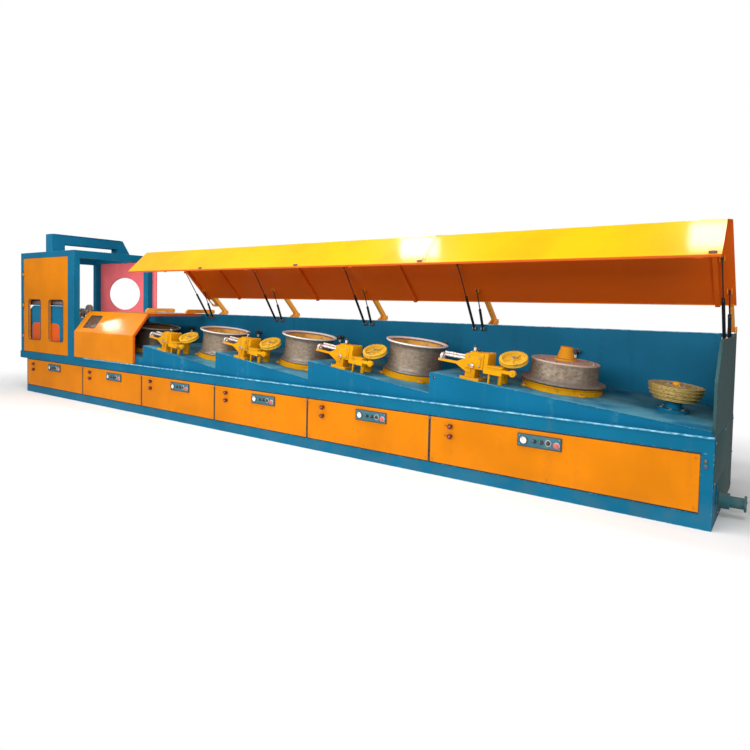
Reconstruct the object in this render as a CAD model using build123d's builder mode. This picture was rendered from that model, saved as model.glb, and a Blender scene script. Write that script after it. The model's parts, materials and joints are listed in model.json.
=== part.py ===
from build123d import *
import os
from math import atan2, cos, hypot, radians, sin, tan

os.makedirs("parts", exist_ok=True)

# A straight-line wire drawing machine: a long bed with tilted drawing blocks in a row, a take-up
# cabinet at its left end and hinged guard hoods over the blocks. Millimetres. X runs from the take-up
# end to the inlet end, Y to the back, Z up, and the origin is on the floor under the bed's middle.

# Bed
PITCH = 1500
BLOCKS = 5
FIRST_PANEL = 1720
LAST_PANEL = 2203
LEFT_POST = 30
RIGHT_POST = 82
DEPTH = 1340
PLINTH_TOP = 110
PANEL_TOP = 545
RAIL_TOP = 660
RAIL_OVERHANG = 240
RAIL_ROUND = 8
PANEL_JOINT = 8
PANEL_SHEET = 12
PANEL_PROUD = 4
SEAT = 0.3

BED_LENGTH = LEFT_POST + FIRST_PANEL + (BLOCKS - 1) * PITCH + LAST_PANEL + RIGHT_POST
LEFT = -BED_LENGTH / 2
RIGHT = BED_LENGTH / 2
FRONT = -DEPTH / 2
BACK = DEPTH / 2
FIRST_SEAM = LEFT + LEFT_POST + FIRST_PANEL

# Rear wall and the end plate at the inlet end
WALL_TOP = 1355
WALL_THICK = 60
WALL_FACE = BACK - WALL_THICK
END_PLATE = 20
PLATE_INSET = 14
PLATE_NOTCH = 32
PLATE_NOTCH_TOP = 24
PLATE_NOTCH_SLOPE = 36
PLATE_TOP_GAP = 10

# Guard hoods: a folded sheet whose section runs up the front, over a chamfer and back along the top
HOOD_SHEET = 4
HOOD_FRONT_TOP = 1056
HOOD_CHAMFER = 232
HOOD_REAR_GAP = 147
HOOD_LIP = 24
HOOD_REAR_LIP = 12
HOOD_RIB = 34
HOOD_RIB_WIDTH = 40
HOOD_SEAT_GAP = 6
HOOD_OPEN = 45.4
HOOD_REAR = WALL_FACE - HOOD_REAR_GAP
SPLIT_FROM_SEAM = 1290
HOOD_SPLIT = FIRST_SEAM + SPLIT_FROM_SEAM
HOOD_END_GAP = 10
HOOD_BOTTOM = RAIL_TOP + HOOD_SEAT_GAP
FIRST_RIB_IN = 60
RIB_FROM_SEAM = 560
LAST_RIB_IN = 160
PIVOT_BEHIND = 130
PIVOT_ABOVE = 36
PIVOT_Y = BACK + PIVOT_BEHIND
PIVOT_Z = WALL_TOP + PIVOT_ABOVE
PIN_RADIUS = 12
PIN_FIT = 0.08

# Hinge arms: a square tube on a foot, from the hood's top back to the pivot
ARM_WIDTH = 36
ARM_DEEP = 56
ARM_FOOT = 160
ARM_CHEEK = 12
ARM_SIDE_GAP = 6
ARM_FROM_SEAM = 1448
LAST_ARM_IN = 46
CLOSED_ARM_ALONGS = (110, 1125)

# Gas struts: places of the pivots on the wall and under the hood's top sheet
STRUT_FOOT_IN = 40
STRUT_FOOT_DOWN = 45
STRUT_HEAD_DOWN = 25
SHORT_REACH = 170
LONG_REACH = 530
STRUT_RADIUS = 14
STRUT_BORE = 7
STRUT_ROD = 6
STRUT_EYE = 12
STRUT_EYE_WIDTH = 14
STRUT_PIN = 6
STRUT_CHEEK = 6
STRUT_CHEEK_GAP = 6
STRUT_ENGAGED = 20
SHORT_SPARE = 50
LONG_SPARE = 230
SHORT_SHIFTS = (25, 65, 36, 34, 0)
LONG_SHIFTS = (122, 182, 138, 136, 40)

# Decks and drawing blocks
DECK_SHIFT = 40
DECK_HIGH = 930
DECK_LOW = 734
LAST_DECK_LOW = 694
DECK_SETBACK = 38
BLOCK_OFFSET = 969
LAST_BLOCK_SHIFT = 76
BLOCK_Y = FRONT + 600
RING_RADIUS = 322
LAST_RING_RADIUS = 346
RING_BORE = 90
RING_HEIGHT = 56
BLOCK_GAP = 5
FLANGE_RADIUS = 308
BARREL_RADIUS = 280
RIM_RADIUS = 326
BLOCK_HEIGHT = 310
LAST_BARREL_RADIUS = 294
LAST_FLANGE_RADIUS = 369
LAST_BLOCK_HEIGHT = 198
HUB_RADIUS = 74

# Die boxes and tuner arms: places along a deck from its left edge
BOX_LEFT = 320
BOX_RIGHT = 545
BOX_FRONT = FRONT + 80
BOX_REAR = FRONT + 240
BOX_BOTTOM = 105
BOX_TOP = 262
TUNER_OFFSET = 620
TUNER_Y = FRONT + 275
TUNER_POST_RADIUS = 40
TUNER_POST_HEIGHT = 150

# Inlet guide wheel
WHEEL_OFFSET = 1955
WHEEL_RADIUS = 210
WHEEL_GROOVES = 4
WHEEL_RING = 30
WHEEL_POST = 96

# Take-up cabinet
CABINET_WIDTH = 1695
CABINET_FROM_SEAM = 262
CABINET_RIGHT = FIRST_SEAM - CABINET_FROM_SEAM
CABINET_LEFT = CABINET_RIGHT - CABINET_WIDTH
CABINET_TOP = 2284
CABINET_POST = 92
CABINET_WIDE_POST = 182
CABINET_REAR_POST = 123
CABINET_BEAM = 89
CABINET_SIDE_BEAM = 112
CABINET_ROOF = 20
DOOR_GAP = 5
DOOR_THICK = 30
WINDOW_BOTTOM = 868
WINDOW_TOP = 1523
WINDOW_ROUND = 50
WINDOW_EDGES = ((262, 668), (931, 1375))

# Roof duct and rear guard of the cabinet
DUCT_IN = 842
DUCT_WIDTH = 198
DUCT_HEIGHT = 275
DUCT_SLOT = 126
DUCT_LEFT = CABINET_LEFT + DUCT_IN
DUCT_TOP = CABINET_TOP + DUCT_HEIGHT
GUARD_PAST_LEFT = 123
GUARD_PAST_RIGHT = 97
GUARD_DOWN = 62
GUARD_HEIGHT = 922
GUARD_THICK = 20
GUARD_LEFT = CABINET_LEFT - GUARD_PAST_LEFT
GUARD_RIGHT = CABINET_RIGHT + GUARD_PAST_RIGHT
GUARD_TOP = CABINET_TOP - GUARD_DOWN
GUARD_BOTTOM = GUARD_TOP - GUARD_HEIGHT
PORT_IN = 847
PORT_UP = 355
PORT_X = CABINET_LEFT + PORT_IN
PORT_Z = GUARD_BOTTOM + PORT_UP
PORT_HALF_WIDTH = 493
PORT_HALF_HEIGHT = 287

panel_lefts = [LEFT + LEFT_POST] + [FIRST_SEAM + k * PITCH for k in range(BLOCKS)]
panel_widths = [FIRST_PANEL] + [PITCH] * (BLOCKS - 1) + [LAST_PANEL]
hood_arm_places = [FIRST_SEAM + ARM_FROM_SEAM + PITCH * k for k in range(BLOCKS - 1)] + [RIGHT - LAST_ARM_IN]
closed_arm_places = [FIRST_SEAM + along for along in CLOSED_ARM_ALONGS]


def unit_left(k):
    """Left edge of deck k."""
    return FIRST_SEAM - DECK_SHIFT + k * PITCH


def unit_right(k):
    """Right edge of deck k: the last one runs on to the end plate."""
    return RIGHT - END_PLATE - SEAT if k == BLOCKS - 1 else unit_left(k + 1) - SEAT


def deck_slope(k):
    """Angle of deck k below the level, in radians."""
    low = LAST_DECK_LOW if k == BLOCKS - 1 else DECK_LOW
    return atan2(DECK_HIGH - low, unit_right(k) - unit_left(k))


def deck_height(k, x):
    """Height of deck k above the floor at x."""
    return DECK_HIGH - (x - unit_left(k)) * tan(deck_slope(k))


def deck_plane(k, along, y, height=0.0):
    """Plane parallel to deck k, at a distance from its left edge and a height above it."""
    x = unit_left(k) + along
    c = cos(deck_slope(k))
    s = sin(deck_slope(k))
    return Plane(origin=(x, y, deck_height(k, x)), x_dir=(c, 0, -s), z_dir=(s, 0, c)).offset(height)


def turning_plane(k, along, y, height=0.0):
    """Upright plane along deck k whose Y direction is square to the deck, for turned profiles."""
    seat = deck_plane(k, along, y, height)
    return Plane(origin=seat.origin, x_dir=seat.x_dir, z_dir=(0, -1, 0))


def block_along(k):
    """Distance of block k's axis from its deck's left edge."""
    return BLOCK_OFFSET + (LAST_BLOCK_SHIFT if k == BLOCKS - 1 else 0)


def swung(y, z, angle):
    """A point of the hood's closed section after the hood has turned up about its pivot."""
    turn = radians(angle)
    dy = y - PIVOT_Y
    dz = z - PIVOT_Z
    return (PIVOT_Y + dy * cos(turn) + dz * sin(turn), PIVOT_Z - dy * sin(turn) + dz * cos(turn))


def cross_section(x):
    """Plane across the machine at x, with Y to the right and Z up."""
    return Plane.YZ.offset(x)


def front_face(y):
    """Plane at y that faces the front."""
    return Plane.XZ.offset(-y)


# Bed: one closed welded body with a shallow recess behind the front panels and a pocket in its inlet end
POCKET_Y = FRONT + 225
POCKET_Z = 217
POCKET_WIDTH = 150
POCKET_HEIGHT = 148
POCKET_DEPTH = 90
recess = PANEL_SHEET - PANEL_PROUD
panel_mid_z = (PLINTH_TOP + PANEL_TOP) / 2
panel_height = PANEL_TOP - PLINTH_TOP
with BuildPart() as bed_frame:
    with BuildSketch():
        Rectangle(BED_LENGTH, DEPTH)
    extrude(amount=PANEL_TOP)
    with BuildSketch(front_face(FRONT)):
        with Locations(((LEFT + LEFT_POST + RIGHT - RIGHT_POST) / 2, panel_mid_z)):
            Rectangle(BED_LENGTH - LEFT_POST - RIGHT_POST, panel_height)
    extrude(amount=-recess, mode=Mode.SUBTRACT)
    with BuildSketch(cross_section(RIGHT)):
        with Locations((POCKET_Y, POCKET_Z)):
            RectangleRounded(POCKET_WIDTH, POCKET_HEIGHT, 24)
    extrude(amount=-POCKET_DEPTH, mode=Mode.SUBTRACT)
bed_frame.part.label = "bed_frame"
export_step(bed_frame.part, "parts/bed_frame.step")

# Front panels: flat covers with a narrow joint between neighbours
with BuildPart() as front_panels:
    for left, width in zip(panel_lefts, panel_widths):
        with BuildSketch(front_face(FRONT + recess)):
            with Locations((left + width / 2, panel_mid_z)):
                RectangleRounded(width - PANEL_JOINT, panel_height - PANEL_JOINT, 6)
        extrude(amount=PANEL_SHEET)
    chamfer(front_panels.faces().group_by(Axis.Y)[0].edges(), length=2)
front_panels.part.label = "front_panels"
export_step(front_panels.part, "parts/front_panels.step")

# Top rail: the frame that carries the decks, longer than the bed at the take-up end
with BuildPart() as top_rail:
    with BuildSketch(Plane.XY.offset(PANEL_TOP)):
        with Locations(((RIGHT + LEFT - RAIL_OVERHANG) / 2, 0)):
            Rectangle(BED_LENGTH + RAIL_OVERHANG, DEPTH)
    extrude(amount=RAIL_TOP - PANEL_TOP)
    fillet(top_rail.faces().sort_by(Axis.Y)[0].edges().sort_by(Axis.Z)[-1], radius=RAIL_ROUND)
top_rail.part.label = "top_rail"
export_step(top_rail.part, "parts/top_rail.step")

# Control stations: a shallow box on each front panel with a meter, three knobs and a stop button
STATION_WIDTH = 372
STATION_HEIGHT = 145
STATION_DEEP = 14
STATION_Z = 430
STATION_FROM_SEAM = 650
FIRST_STATION_FROM_SEAM = 700
LAST_STATION_FROM_SEAM = 850
METER_RADIUS = 42
METER_IN = 62
SELECTOR_RADIUS = 16
SELECTOR_IN = 148
SELECTOR_STEP = 58
STOP_RADIUS = 22
STOP_IN = 40
station_alongs = [FIRST_STATION_FROM_SEAM] + [STATION_FROM_SEAM] * (BLOCKS - 1) + [LAST_STATION_FROM_SEAM]
panel_front = FRONT + recess - PANEL_SHEET
with BuildPart() as control_stations:
    for left, station_along in zip(panel_lefts, station_alongs):
        corner = left + station_along
        with BuildSketch(front_face(panel_front)):
            with Locations((corner + STATION_WIDTH / 2, STATION_Z)):
                RectangleRounded(STATION_WIDTH, STATION_HEIGHT, 8)
        extrude(amount=STATION_DEEP)
        with BuildSketch(front_face(panel_front - STATION_DEEP)):
            with Locations((corner + METER_IN, STATION_Z)):
                Circle(METER_RADIUS)
        extrude(amount=8)
        with BuildSketch(front_face(panel_front - STATION_DEEP)):
            with Locations(*[(corner + SELECTOR_IN + SELECTOR_STEP * n, STATION_Z) for n in range(3)]):
                Circle(SELECTOR_RADIUS)
        extrude(amount=18)
        with BuildSketch(front_face(panel_front - STATION_DEEP)):
            with Locations((corner + STATION_WIDTH - STOP_IN, STATION_Z)):
                Circle(STOP_RADIUS)
        extrude(amount=22)
control_stations.part.label = "control_stations"
export_step(control_stations.part, "parts/control_stations.step")

# Cooling water valve knobs, two at the left of each panel
VALVE_RADIUS = 24
VALVE_STEM_RADIUS = 11
VALVE_STEM = 18
VALVE_HANDLE = 20
VALVE_HEIGHTS = (470, 380)
VALVE_FROM_SEAM = 220
with BuildPart() as valve_knobs:
    for left in panel_lefts:
        for height in VALVE_HEIGHTS:
            with BuildSketch(front_face(panel_front)):
                with Locations((left + VALVE_FROM_SEAM, height)):
                    Circle(VALVE_STEM_RADIUS)
            extrude(amount=VALVE_STEM)
            with BuildSketch(front_face(panel_front - VALVE_STEM)):
                with Locations((left + VALVE_FROM_SEAM, height)):
                    Circle(VALVE_RADIUS)
            extrude(amount=VALVE_HANDLE)
valve_knobs.part.label = "valve_knobs"
export_step(valve_knobs.part, "parts/valve_knobs.step")

# Decks: sloping housings side by side, each high at its left end
deck_depth = WALL_FACE - SEAT - (FRONT + DECK_SETBACK)
with BuildPart() as decks:
    for k in range(BLOCKS):
        left = unit_left(k)
        right = unit_right(k)
        with BuildSketch(front_face(FRONT + DECK_SETBACK)):
            with BuildLine():
                Polyline((left, RAIL_TOP), (left, DECK_HIGH), (right, deck_height(k, right)),
                         (right, RAIL_TOP), close=True)
            make_face()
        extrude(amount=-deck_depth)
decks.part.label = "decks"
export_step(decks.part, "parts/decks.step")

# Rear wall behind the decks, from the cabinet to the end plate
with BuildPart() as rear_wall:
    with BuildSketch(cross_section(CABINET_RIGHT + SEAT)):
        with Locations(((WALL_FACE + BACK) / 2, (RAIL_TOP + WALL_TOP) / 2)):
            Rectangle(WALL_THICK, WALL_TOP - RAIL_TOP)
    extrude(amount=RIGHT - END_PLATE - 2 * SEAT - CABINET_RIGHT)
rear_wall.part.label = "rear_wall"
export_step(rear_wall.part, "parts/rear_wall.step")

# End plate: closes the hood's section at the inlet end, cut back round the hood's lips
plate_top = WALL_TOP - HOOD_REAR_LIP - PLATE_TOP_GAP
with BuildPart() as end_plate:
    with BuildSketch(cross_section(RIGHT - END_PLATE)):
        with BuildLine():
            Polyline(
                (FRONT + PLATE_NOTCH, RAIL_TOP),
                (FRONT + PLATE_NOTCH, RAIL_TOP + PLATE_NOTCH_TOP),
                (FRONT + PLATE_INSET, RAIL_TOP + PLATE_NOTCH_TOP + PLATE_NOTCH_SLOPE),
                (FRONT + PLATE_INSET, HOOD_FRONT_TOP - PLATE_INSET),
                (FRONT + HOOD_CHAMFER + PLATE_INSET / 2, plate_top),
                (HOOD_REAR + PLATE_INSET, plate_top),
                (HOOD_REAR + 3 * PLATE_INSET, WALL_TOP),
                (BACK, WALL_TOP),
                (BACK, RAIL_TOP),
                close=True,
            )
        make_face()
    extrude(amount=END_PLATE)
end_plate.part.label = "end_plate"
export_step(end_plate.part, "parts/end_plate.step")

# Base rings: fixed stepped rings on the decks, under the drawing blocks
RING_STEP = 14
with BuildPart() as base_rings:
    for k in range(BLOCKS):
        ring = LAST_RING_RADIUS if k == BLOCKS - 1 else RING_RADIUS
        with BuildSketch(deck_plane(k, block_along(k), BLOCK_Y, SEAT)):
            Circle(ring)
            Circle(RING_BORE, mode=Mode.SUBTRACT)
        extrude(amount=RING_HEIGHT - RING_STEP)
        with BuildSketch(deck_plane(k, block_along(k), BLOCK_Y, SEAT + RING_HEIGHT - RING_STEP)):
            Circle(ring - RING_STEP)
            Circle(RING_BORE, mode=Mode.SUBTRACT)
        extrude(amount=RING_STEP)
base_rings.part.label = "base_rings"
export_step(base_rings.part, "parts/base_rings.step")

# Spindles: each stands on the deck inside its ring and carries a drawing block
SPINDLE_RADIUS = 60
SPINDLE_FLANGE = 80
SPINDLE_FOOT = 20
with BuildPart() as spindles:
    for k in range(BLOCKS):
        with BuildSketch(deck_plane(k, block_along(k), BLOCK_Y, SEAT)):
            Circle(SPINDLE_FLANGE)
        extrude(amount=SPINDLE_FOOT)
        with BuildSketch(deck_plane(k, block_along(k), BLOCK_Y, SEAT + SPINDLE_FOOT)):
            Circle(SPINDLE_RADIUS)
        extrude(amount=RING_HEIGHT + BLOCK_GAP - SEAT - SPINDLE_FOOT)
spindles.part.label = "spindles"
export_step(spindles.part, "parts/spindles.step")

# Drawing blocks: open drums with a flared rim, turned in one piece with their web and hub
WEB_DEPTH = 128
RIM_WALL = 26
BARREL_WALL = 14
block_seat = SEAT + RING_HEIGHT + BLOCK_GAP
for k in range(BLOCKS - 1):
    section = turning_plane(k, block_along(k), BLOCK_Y, block_seat)
    with BuildPart() as block:
        with BuildSketch(section):
            with BuildLine():
                Polyline(
                    (0, 0),
                    (FLANGE_RADIUS, 0),
                    (FLANGE_RADIUS, 16),
                    (BARREL_RADIUS + 8, 26),
                    (BARREL_RADIUS, 110),
                    (BARREL_RADIUS - 3, BLOCK_HEIGHT - 70),
                    (BARREL_RADIUS + 8, BLOCK_HEIGHT - 48),
                    (RIM_RADIUS, BLOCK_HEIGHT - 10),
                    (RIM_RADIUS, BLOCK_HEIGHT),
                    (RIM_RADIUS - RIM_WALL, BLOCK_HEIGHT),
                    (BARREL_RADIUS - BARREL_WALL, BLOCK_HEIGHT - 44),
                    (BARREL_RADIUS - BARREL_WALL, BLOCK_HEIGHT - WEB_DEPTH),
                    (HUB_RADIUS + 6, BLOCK_HEIGHT - WEB_DEPTH),
                    (HUB_RADIUS, BLOCK_HEIGHT - WEB_DEPTH + 44),
                    (0, BLOCK_HEIGHT - WEB_DEPTH + 44),
                    close=True,
                )
            make_face()
        revolve(axis=Axis(section.origin, section.y_dir))
    block.part.label = f"drawing_block_{k + 1}"
    export_step(block.part, f"parts/drawing_block_{k + 1}.step")

# Last drawing block: a closed drum with a wide lower flange
last = BLOCKS - 1
section = turning_plane(last, block_along(last), BLOCK_Y, block_seat)
with BuildPart() as closed_block:
    with BuildSketch(section):
        with BuildLine():
            Polyline(
                (0, 0),
                (LAST_FLANGE_RADIUS - 30, 0),
                (LAST_FLANGE_RADIUS, 10),
                (LAST_FLANGE_RADIUS, 22),
                (LAST_BARREL_RADIUS + 14, 34),
                (LAST_BARREL_RADIUS, 60),
                (LAST_BARREL_RADIUS - 4, LAST_BLOCK_HEIGHT - 16),
                (LAST_BARREL_RADIUS + 2, LAST_BLOCK_HEIGHT - 8),
                (LAST_BARREL_RADIUS + 2, LAST_BLOCK_HEIGHT),
                (0, LAST_BLOCK_HEIGHT),
                close=True,
            )
        make_face()
    revolve(axis=Axis(section.origin, section.y_dir))
closed_block.part.label = f"drawing_block_{BLOCKS}"
export_step(closed_block.part, f"parts/drawing_block_{BLOCKS}.step")

# Domed hub cap on the closed block
HUB_FLANGE = 120
HUB_SIDE = 58
HUB_CROWN = 28
section = turning_plane(last, block_along(last), BLOCK_Y, block_seat + LAST_BLOCK_HEIGHT)
crown_radius = (HUB_RADIUS ** 2 + HUB_CROWN ** 2) / (2 * HUB_CROWN)
half_turn = atan2(HUB_RADIUS, crown_radius - HUB_CROWN) / 2
crown_middle = (crown_radius * sin(half_turn), HUB_SIDE + HUB_CROWN - crown_radius * (1 - cos(half_turn)))
with BuildPart() as hub_cap:
    with BuildSketch(section):
        with BuildLine():
            Polyline((0, 0), (HUB_FLANGE, 0), (HUB_FLANGE, 14), (HUB_RADIUS + 8, 22), (HUB_RADIUS, HUB_SIDE))
            ThreePointArc((HUB_RADIUS, HUB_SIDE), crown_middle, (0, HUB_SIDE + HUB_CROWN))
            Line((0, HUB_SIDE + HUB_CROWN), (0, 0))
        make_face()
    revolve(axis=Axis(section.origin, section.y_dir))
hub_cap.part.label = "hub_cap"
export_step(hub_cap.part, "parts/hub_cap.step")

# Die boxes, one ahead of each block: a cast body on a pillar, a drip tray on two legs at its right,
# a tapered arm with two guide rods at its left and a small roller at the tray's end
BOX_ROUND = 14
FOOT_LEFT = 294
FOOT_RIGHT = 482
FOOT_FRONT = FRONT + 60
FOOT_REAR = FRONT + 230
FOOT_THICK = 22
PILLAR_INSET = 28
PILLAR_WIDTH = 95
TRAY_RIGHT = 690
TRAY_FRONT = FRONT + 65
TRAY_REAR = FRONT + 155
TRAY_BOTTOM = 84
TRAY_TOP = 155
TRAY_CORNER = 40
THIN_LEG = 9
THIN_LEG_ALONG = 568
THICK_LEG = 20
THICK_LEG_ALONG = 655
ARM_TIP = 40
ARM_TIP_HEIGHT = 22
ARM_PLATE = 20
ARM_BOTTOM = 118
GUIDE_ROD = 9
GUIDE_ROD_PLACES = ((FRONT + 150, 175), (FRONT + 205, 190))
PIN_HEAD = 22
ROLLER_RADIUS = 28
ROLLER_HEIGHT = 128
ROLLER_WIDTH = 30
ROLLER_REACH = 95


def deck_front(k, y):
    """Upright plane along deck k at y, facing the front, with heights square to the deck."""
    return turning_plane(k, 0, y, SEAT)


with BuildPart() as die_boxes:
    for k in range(BLOCKS):
        with BuildSketch(deck_front(k, BOX_FRONT)):
            with BuildLine():
                Polyline((BOX_LEFT, BOX_BOTTOM), (BOX_LEFT, BOX_TOP - 36), (BOX_LEFT + 30, BOX_TOP - 24),
                         (BOX_RIGHT, BOX_TOP), (BOX_RIGHT, BOX_BOTTOM), close=True)
            make_face()
            fillet(vertices(), radius=BOX_ROUND)
        extrude(amount=BOX_FRONT - BOX_REAR)
        with BuildSketch(deck_plane(k, (FOOT_LEFT + FOOT_RIGHT) / 2, (FOOT_FRONT + FOOT_REAR) / 2, SEAT)):
            RectangleRounded(FOOT_RIGHT - FOOT_LEFT, FOOT_REAR - FOOT_FRONT, 10)
        extrude(amount=FOOT_THICK)
        with BuildSketch(deck_plane(k, FOOT_LEFT + PILLAR_INSET + PILLAR_WIDTH / 2, (BOX_FRONT + BOX_REAR) / 2, SEAT)):
            Rectangle(PILLAR_WIDTH, BOX_REAR - BOX_FRONT - 2 * PILLAR_INSET)
        extrude(amount=BOX_BOTTOM + BOX_ROUND)
        with BuildSketch(deck_front(k, TRAY_FRONT)):
            with BuildLine():
                Polyline((BOX_RIGHT - 2 * BOX_ROUND, TRAY_BOTTOM), (BOX_RIGHT - 2 * BOX_ROUND, TRAY_TOP - TRAY_CORNER),
                         (BOX_RIGHT + BOX_ROUND, TRAY_TOP), (TRAY_RIGHT, TRAY_TOP),
                         (TRAY_RIGHT, TRAY_BOTTOM), close=True)
            make_face()
        extrude(amount=TRAY_FRONT - TRAY_REAR)
        for along, y, radius in ((THIN_LEG_ALONG, BOX_FRONT, THIN_LEG), (THICK_LEG_ALONG, TRAY_REAR - 25, THICK_LEG)):
            with BuildSketch(deck_plane(k, along, y, SEAT)):
                Circle(radius)
            extrude(amount=TRAY_BOTTOM + THICK_LEG)
        with BuildSketch(deck_front(k, BOX_FRONT + ARM_PLATE)):
            with BuildLine():
                Polyline((ARM_TIP, ARM_BOTTOM), (ARM_TIP, ARM_BOTTOM + ARM_TIP_HEIGHT),
                         (BOX_LEFT - 90, ARM_BOTTOM + ARM_TIP_HEIGHT), (BOX_LEFT + 10, BOX_TOP - 72),
                         (BOX_LEFT + 60, BOX_TOP - 72), (BOX_LEFT + 60, FOOT_THICK + 38),
                         (BOX_LEFT + 20, FOOT_THICK + 38), (BOX_LEFT - 95, ARM_BOTTOM), close=True)
            make_face()
        extrude(amount=-ARM_PLATE)
        for y, height in GUIDE_ROD_PLACES:
            with BuildSketch(deck_front(k, y)):
                with BuildLine():
                    Polyline((ARM_TIP + 10, height - GUIDE_ROD), (BOX_LEFT + 20, height - GUIDE_ROD),
                             (BOX_LEFT + 20, height + GUIDE_ROD), (ARM_TIP + 10, height + GUIDE_ROD), close=True)
                make_face()
            extrude(amount=-2 * GUIDE_ROD)
        with BuildSketch(deck_front(k, BOX_FRONT)):
            with Locations((BOX_LEFT + 82, BOX_BOTTOM + 25)):
                Circle(PIN_HEAD)
        extrude(amount=8)
        with BuildSketch(deck_front(k, TRAY_FRONT)):
            with Locations((TRAY_RIGHT + ROLLER_REACH, ROLLER_HEIGHT)):
                Circle(ROLLER_RADIUS)
            with Locations((TRAY_RIGHT + ROLLER_REACH / 2 - 10, ROLLER_HEIGHT)):
                Rectangle(ROLLER_REACH + 20, ROLLER_RADIUS)
        extrude(amount=-ROLLER_WIDTH)
die_boxes.part.label = "die_boxes"
export_step(die_boxes.part, "parts/die_boxes.step")

# Tuner posts: pillars beside the die boxes, with the pins that the tuner arms turn on
TUNER_PIN = 50
with BuildPart() as tuner_posts:
    for k in range(BLOCKS):
        with BuildSketch(deck_plane(k, TUNER_OFFSET, TUNER_Y, SEAT)):
            Circle(TUNER_POST_RADIUS)
        extrude(amount=TUNER_POST_HEIGHT)
        with BuildSketch(deck_plane(k, TUNER_OFFSET, TUNER_Y, SEAT + TUNER_POST_HEIGHT)):
            Circle(PIN_RADIUS)
        extrude(amount=TUNER_PIN)
tuner_posts.part.label = "tuner_posts"
export_step(tuner_posts.part, "parts/tuner_posts.step")

# Tuner arms: each swings about its post and carries a wide grooved dish, tipped to the front, that the
# wire runs round
TUNER_BOSS = 44
TUNER_BAR = 36
TUNER_BAR_THICK = 30
DISH_ALONG = 95
DISH_ACROSS = -60
DISH_HEIGHT = 250
DISH_RADIUS = 125
DISH_NECK = 108
DISH_WALL = 14
DISH_DEEP = 40
DISH_FLOOR = 12
DISH_TIP = 25
DISH_STUB = 24
dish_reach = hypot(DISH_ALONG, DISH_ACROSS)
for k in range(BLOCKS):
    foot = 2 * SEAT + TUNER_POST_HEIGHT
    pivot = deck_plane(k, TUNER_OFFSET, TUNER_Y, foot)
    middle = deck_plane(k, TUNER_OFFSET + DISH_ALONG, TUNER_Y + DISH_ACROSS, DISH_HEIGHT)
    tipped = middle.rotated((DISH_TIP, 0, 0))
    section = Plane(origin=tipped.origin, x_dir=tipped.x_dir, z_dir=-tipped.y_dir)
    with BuildPart() as tuner_arm:
        with BuildSketch(pivot):
            Circle(TUNER_POST_RADIUS)
        extrude(amount=TUNER_BOSS)
        with BuildSketch(pivot):
            SlotCenterPoint(center=(DISH_ALONG / 2, DISH_ACROSS / 2), point=(DISH_ALONG, DISH_ACROSS), height=TUNER_BAR)
        extrude(amount=TUNER_BAR_THICK)
        with BuildSketch(pivot):
            with Locations((DISH_ALONG, DISH_ACROSS)):
                Circle(DISH_STUB)
        extrude(amount=DISH_HEIGHT - DISH_DEEP + DISH_FLOOR / 2 - foot)
        with BuildSketch(section):
            with BuildLine():
                Polyline((0, -DISH_DEEP), (DISH_RADIUS, -DISH_DEEP), (DISH_NECK, -DISH_DEEP / 2), (DISH_RADIUS, 0),
                         (DISH_NECK - DISH_WALL, 0), (DISH_NECK - DISH_WALL, DISH_FLOOR - DISH_DEEP),
                         (DISH_STUB, DISH_FLOOR - DISH_DEEP), (DISH_STUB, 0), (0, 0), close=True)
            make_face()
        revolve(axis=Axis(section.origin, section.y_dir))
        with BuildSketch(pivot):
            Circle(PIN_RADIUS + PIN_FIT)
        extrude(amount=TUNER_BOSS, mode=Mode.SUBTRACT)
    tuner_arm.part.label = f"tuner_arm_{k + 1}"
    export_step(tuner_arm.part, f"parts/tuner_arm_{k + 1}.step")

# Inlet guide wheel: a stack of grooved rings that turns on a post at the low end of the last deck
WHEEL_FOOT_RADIUS = 120
WHEEL_FOOT = 24
WHEEL_POST_RADIUS = 62
wheel_height = WHEEL_GROOVES * WHEEL_RING
section = turning_plane(last, WHEEL_OFFSET, BLOCK_Y, SEAT + WHEEL_POST + SEAT)
with BuildPart() as guide_wheel:
    with BuildSketch(section):
        with Locations((WHEEL_RADIUS / 2, wheel_height / 2)):
            Rectangle(WHEEL_RADIUS, wheel_height)
        with Locations(*[(WHEEL_RADIUS + 4, WHEEL_RING * (n + 0.5)) for n in range(WHEEL_GROOVES)]):
            Circle(11, mode=Mode.SUBTRACT)
    revolve(axis=Axis(section.origin, section.y_dir))
guide_wheel.part.label = "guide_wheel"
export_step(guide_wheel.part, "parts/guide_wheel.step")

with BuildPart() as wheel_post:
    with BuildSketch(deck_plane(last, WHEEL_OFFSET, BLOCK_Y, SEAT)):
        Circle(WHEEL_FOOT_RADIUS)
    extrude(amount=WHEEL_FOOT)
    with BuildSketch(deck_plane(last, WHEEL_OFFSET, BLOCK_Y, SEAT + WHEEL_FOOT)):
        Circle(WHEEL_POST_RADIUS)
    extrude(amount=WHEEL_POST - WHEEL_FOOT)
wheel_post.part.label = "wheel_post"
export_step(wheel_post.part, "parts/wheel_post.step")

# Hood section, closed: front lip, bottom edge, front top, chamfer top, rear edge, rear lip
hood_points = [
    (FRONT + HOOD_LIP, HOOD_BOTTOM),
    (FRONT, HOOD_BOTTOM),
    (FRONT, HOOD_FRONT_TOP),
    (FRONT + HOOD_CHAMFER, WALL_TOP),
    (HOOD_REAR, WALL_TOP),
    (HOOD_REAR, WALL_TOP - HOOD_REAR_LIP),
]
open_left = HOOD_SPLIT + HOOD_END_GAP / 2
open_right = RIGHT - 2
closed_left = CABINET_RIGHT + HOOD_END_GAP
closed_right = HOOD_SPLIT - HOOD_END_GAP / 2
open_ribs = [open_left + FIRST_RIB_IN] + [FIRST_SEAM + k * PITCH + RIB_FROM_SEAM for k in range(1, BLOCKS - 1)]
open_ribs += [RIGHT - LAST_RIB_IN]
closed_ribs = [closed_right - 2 - HOOD_RIB_WIDTH]


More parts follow.
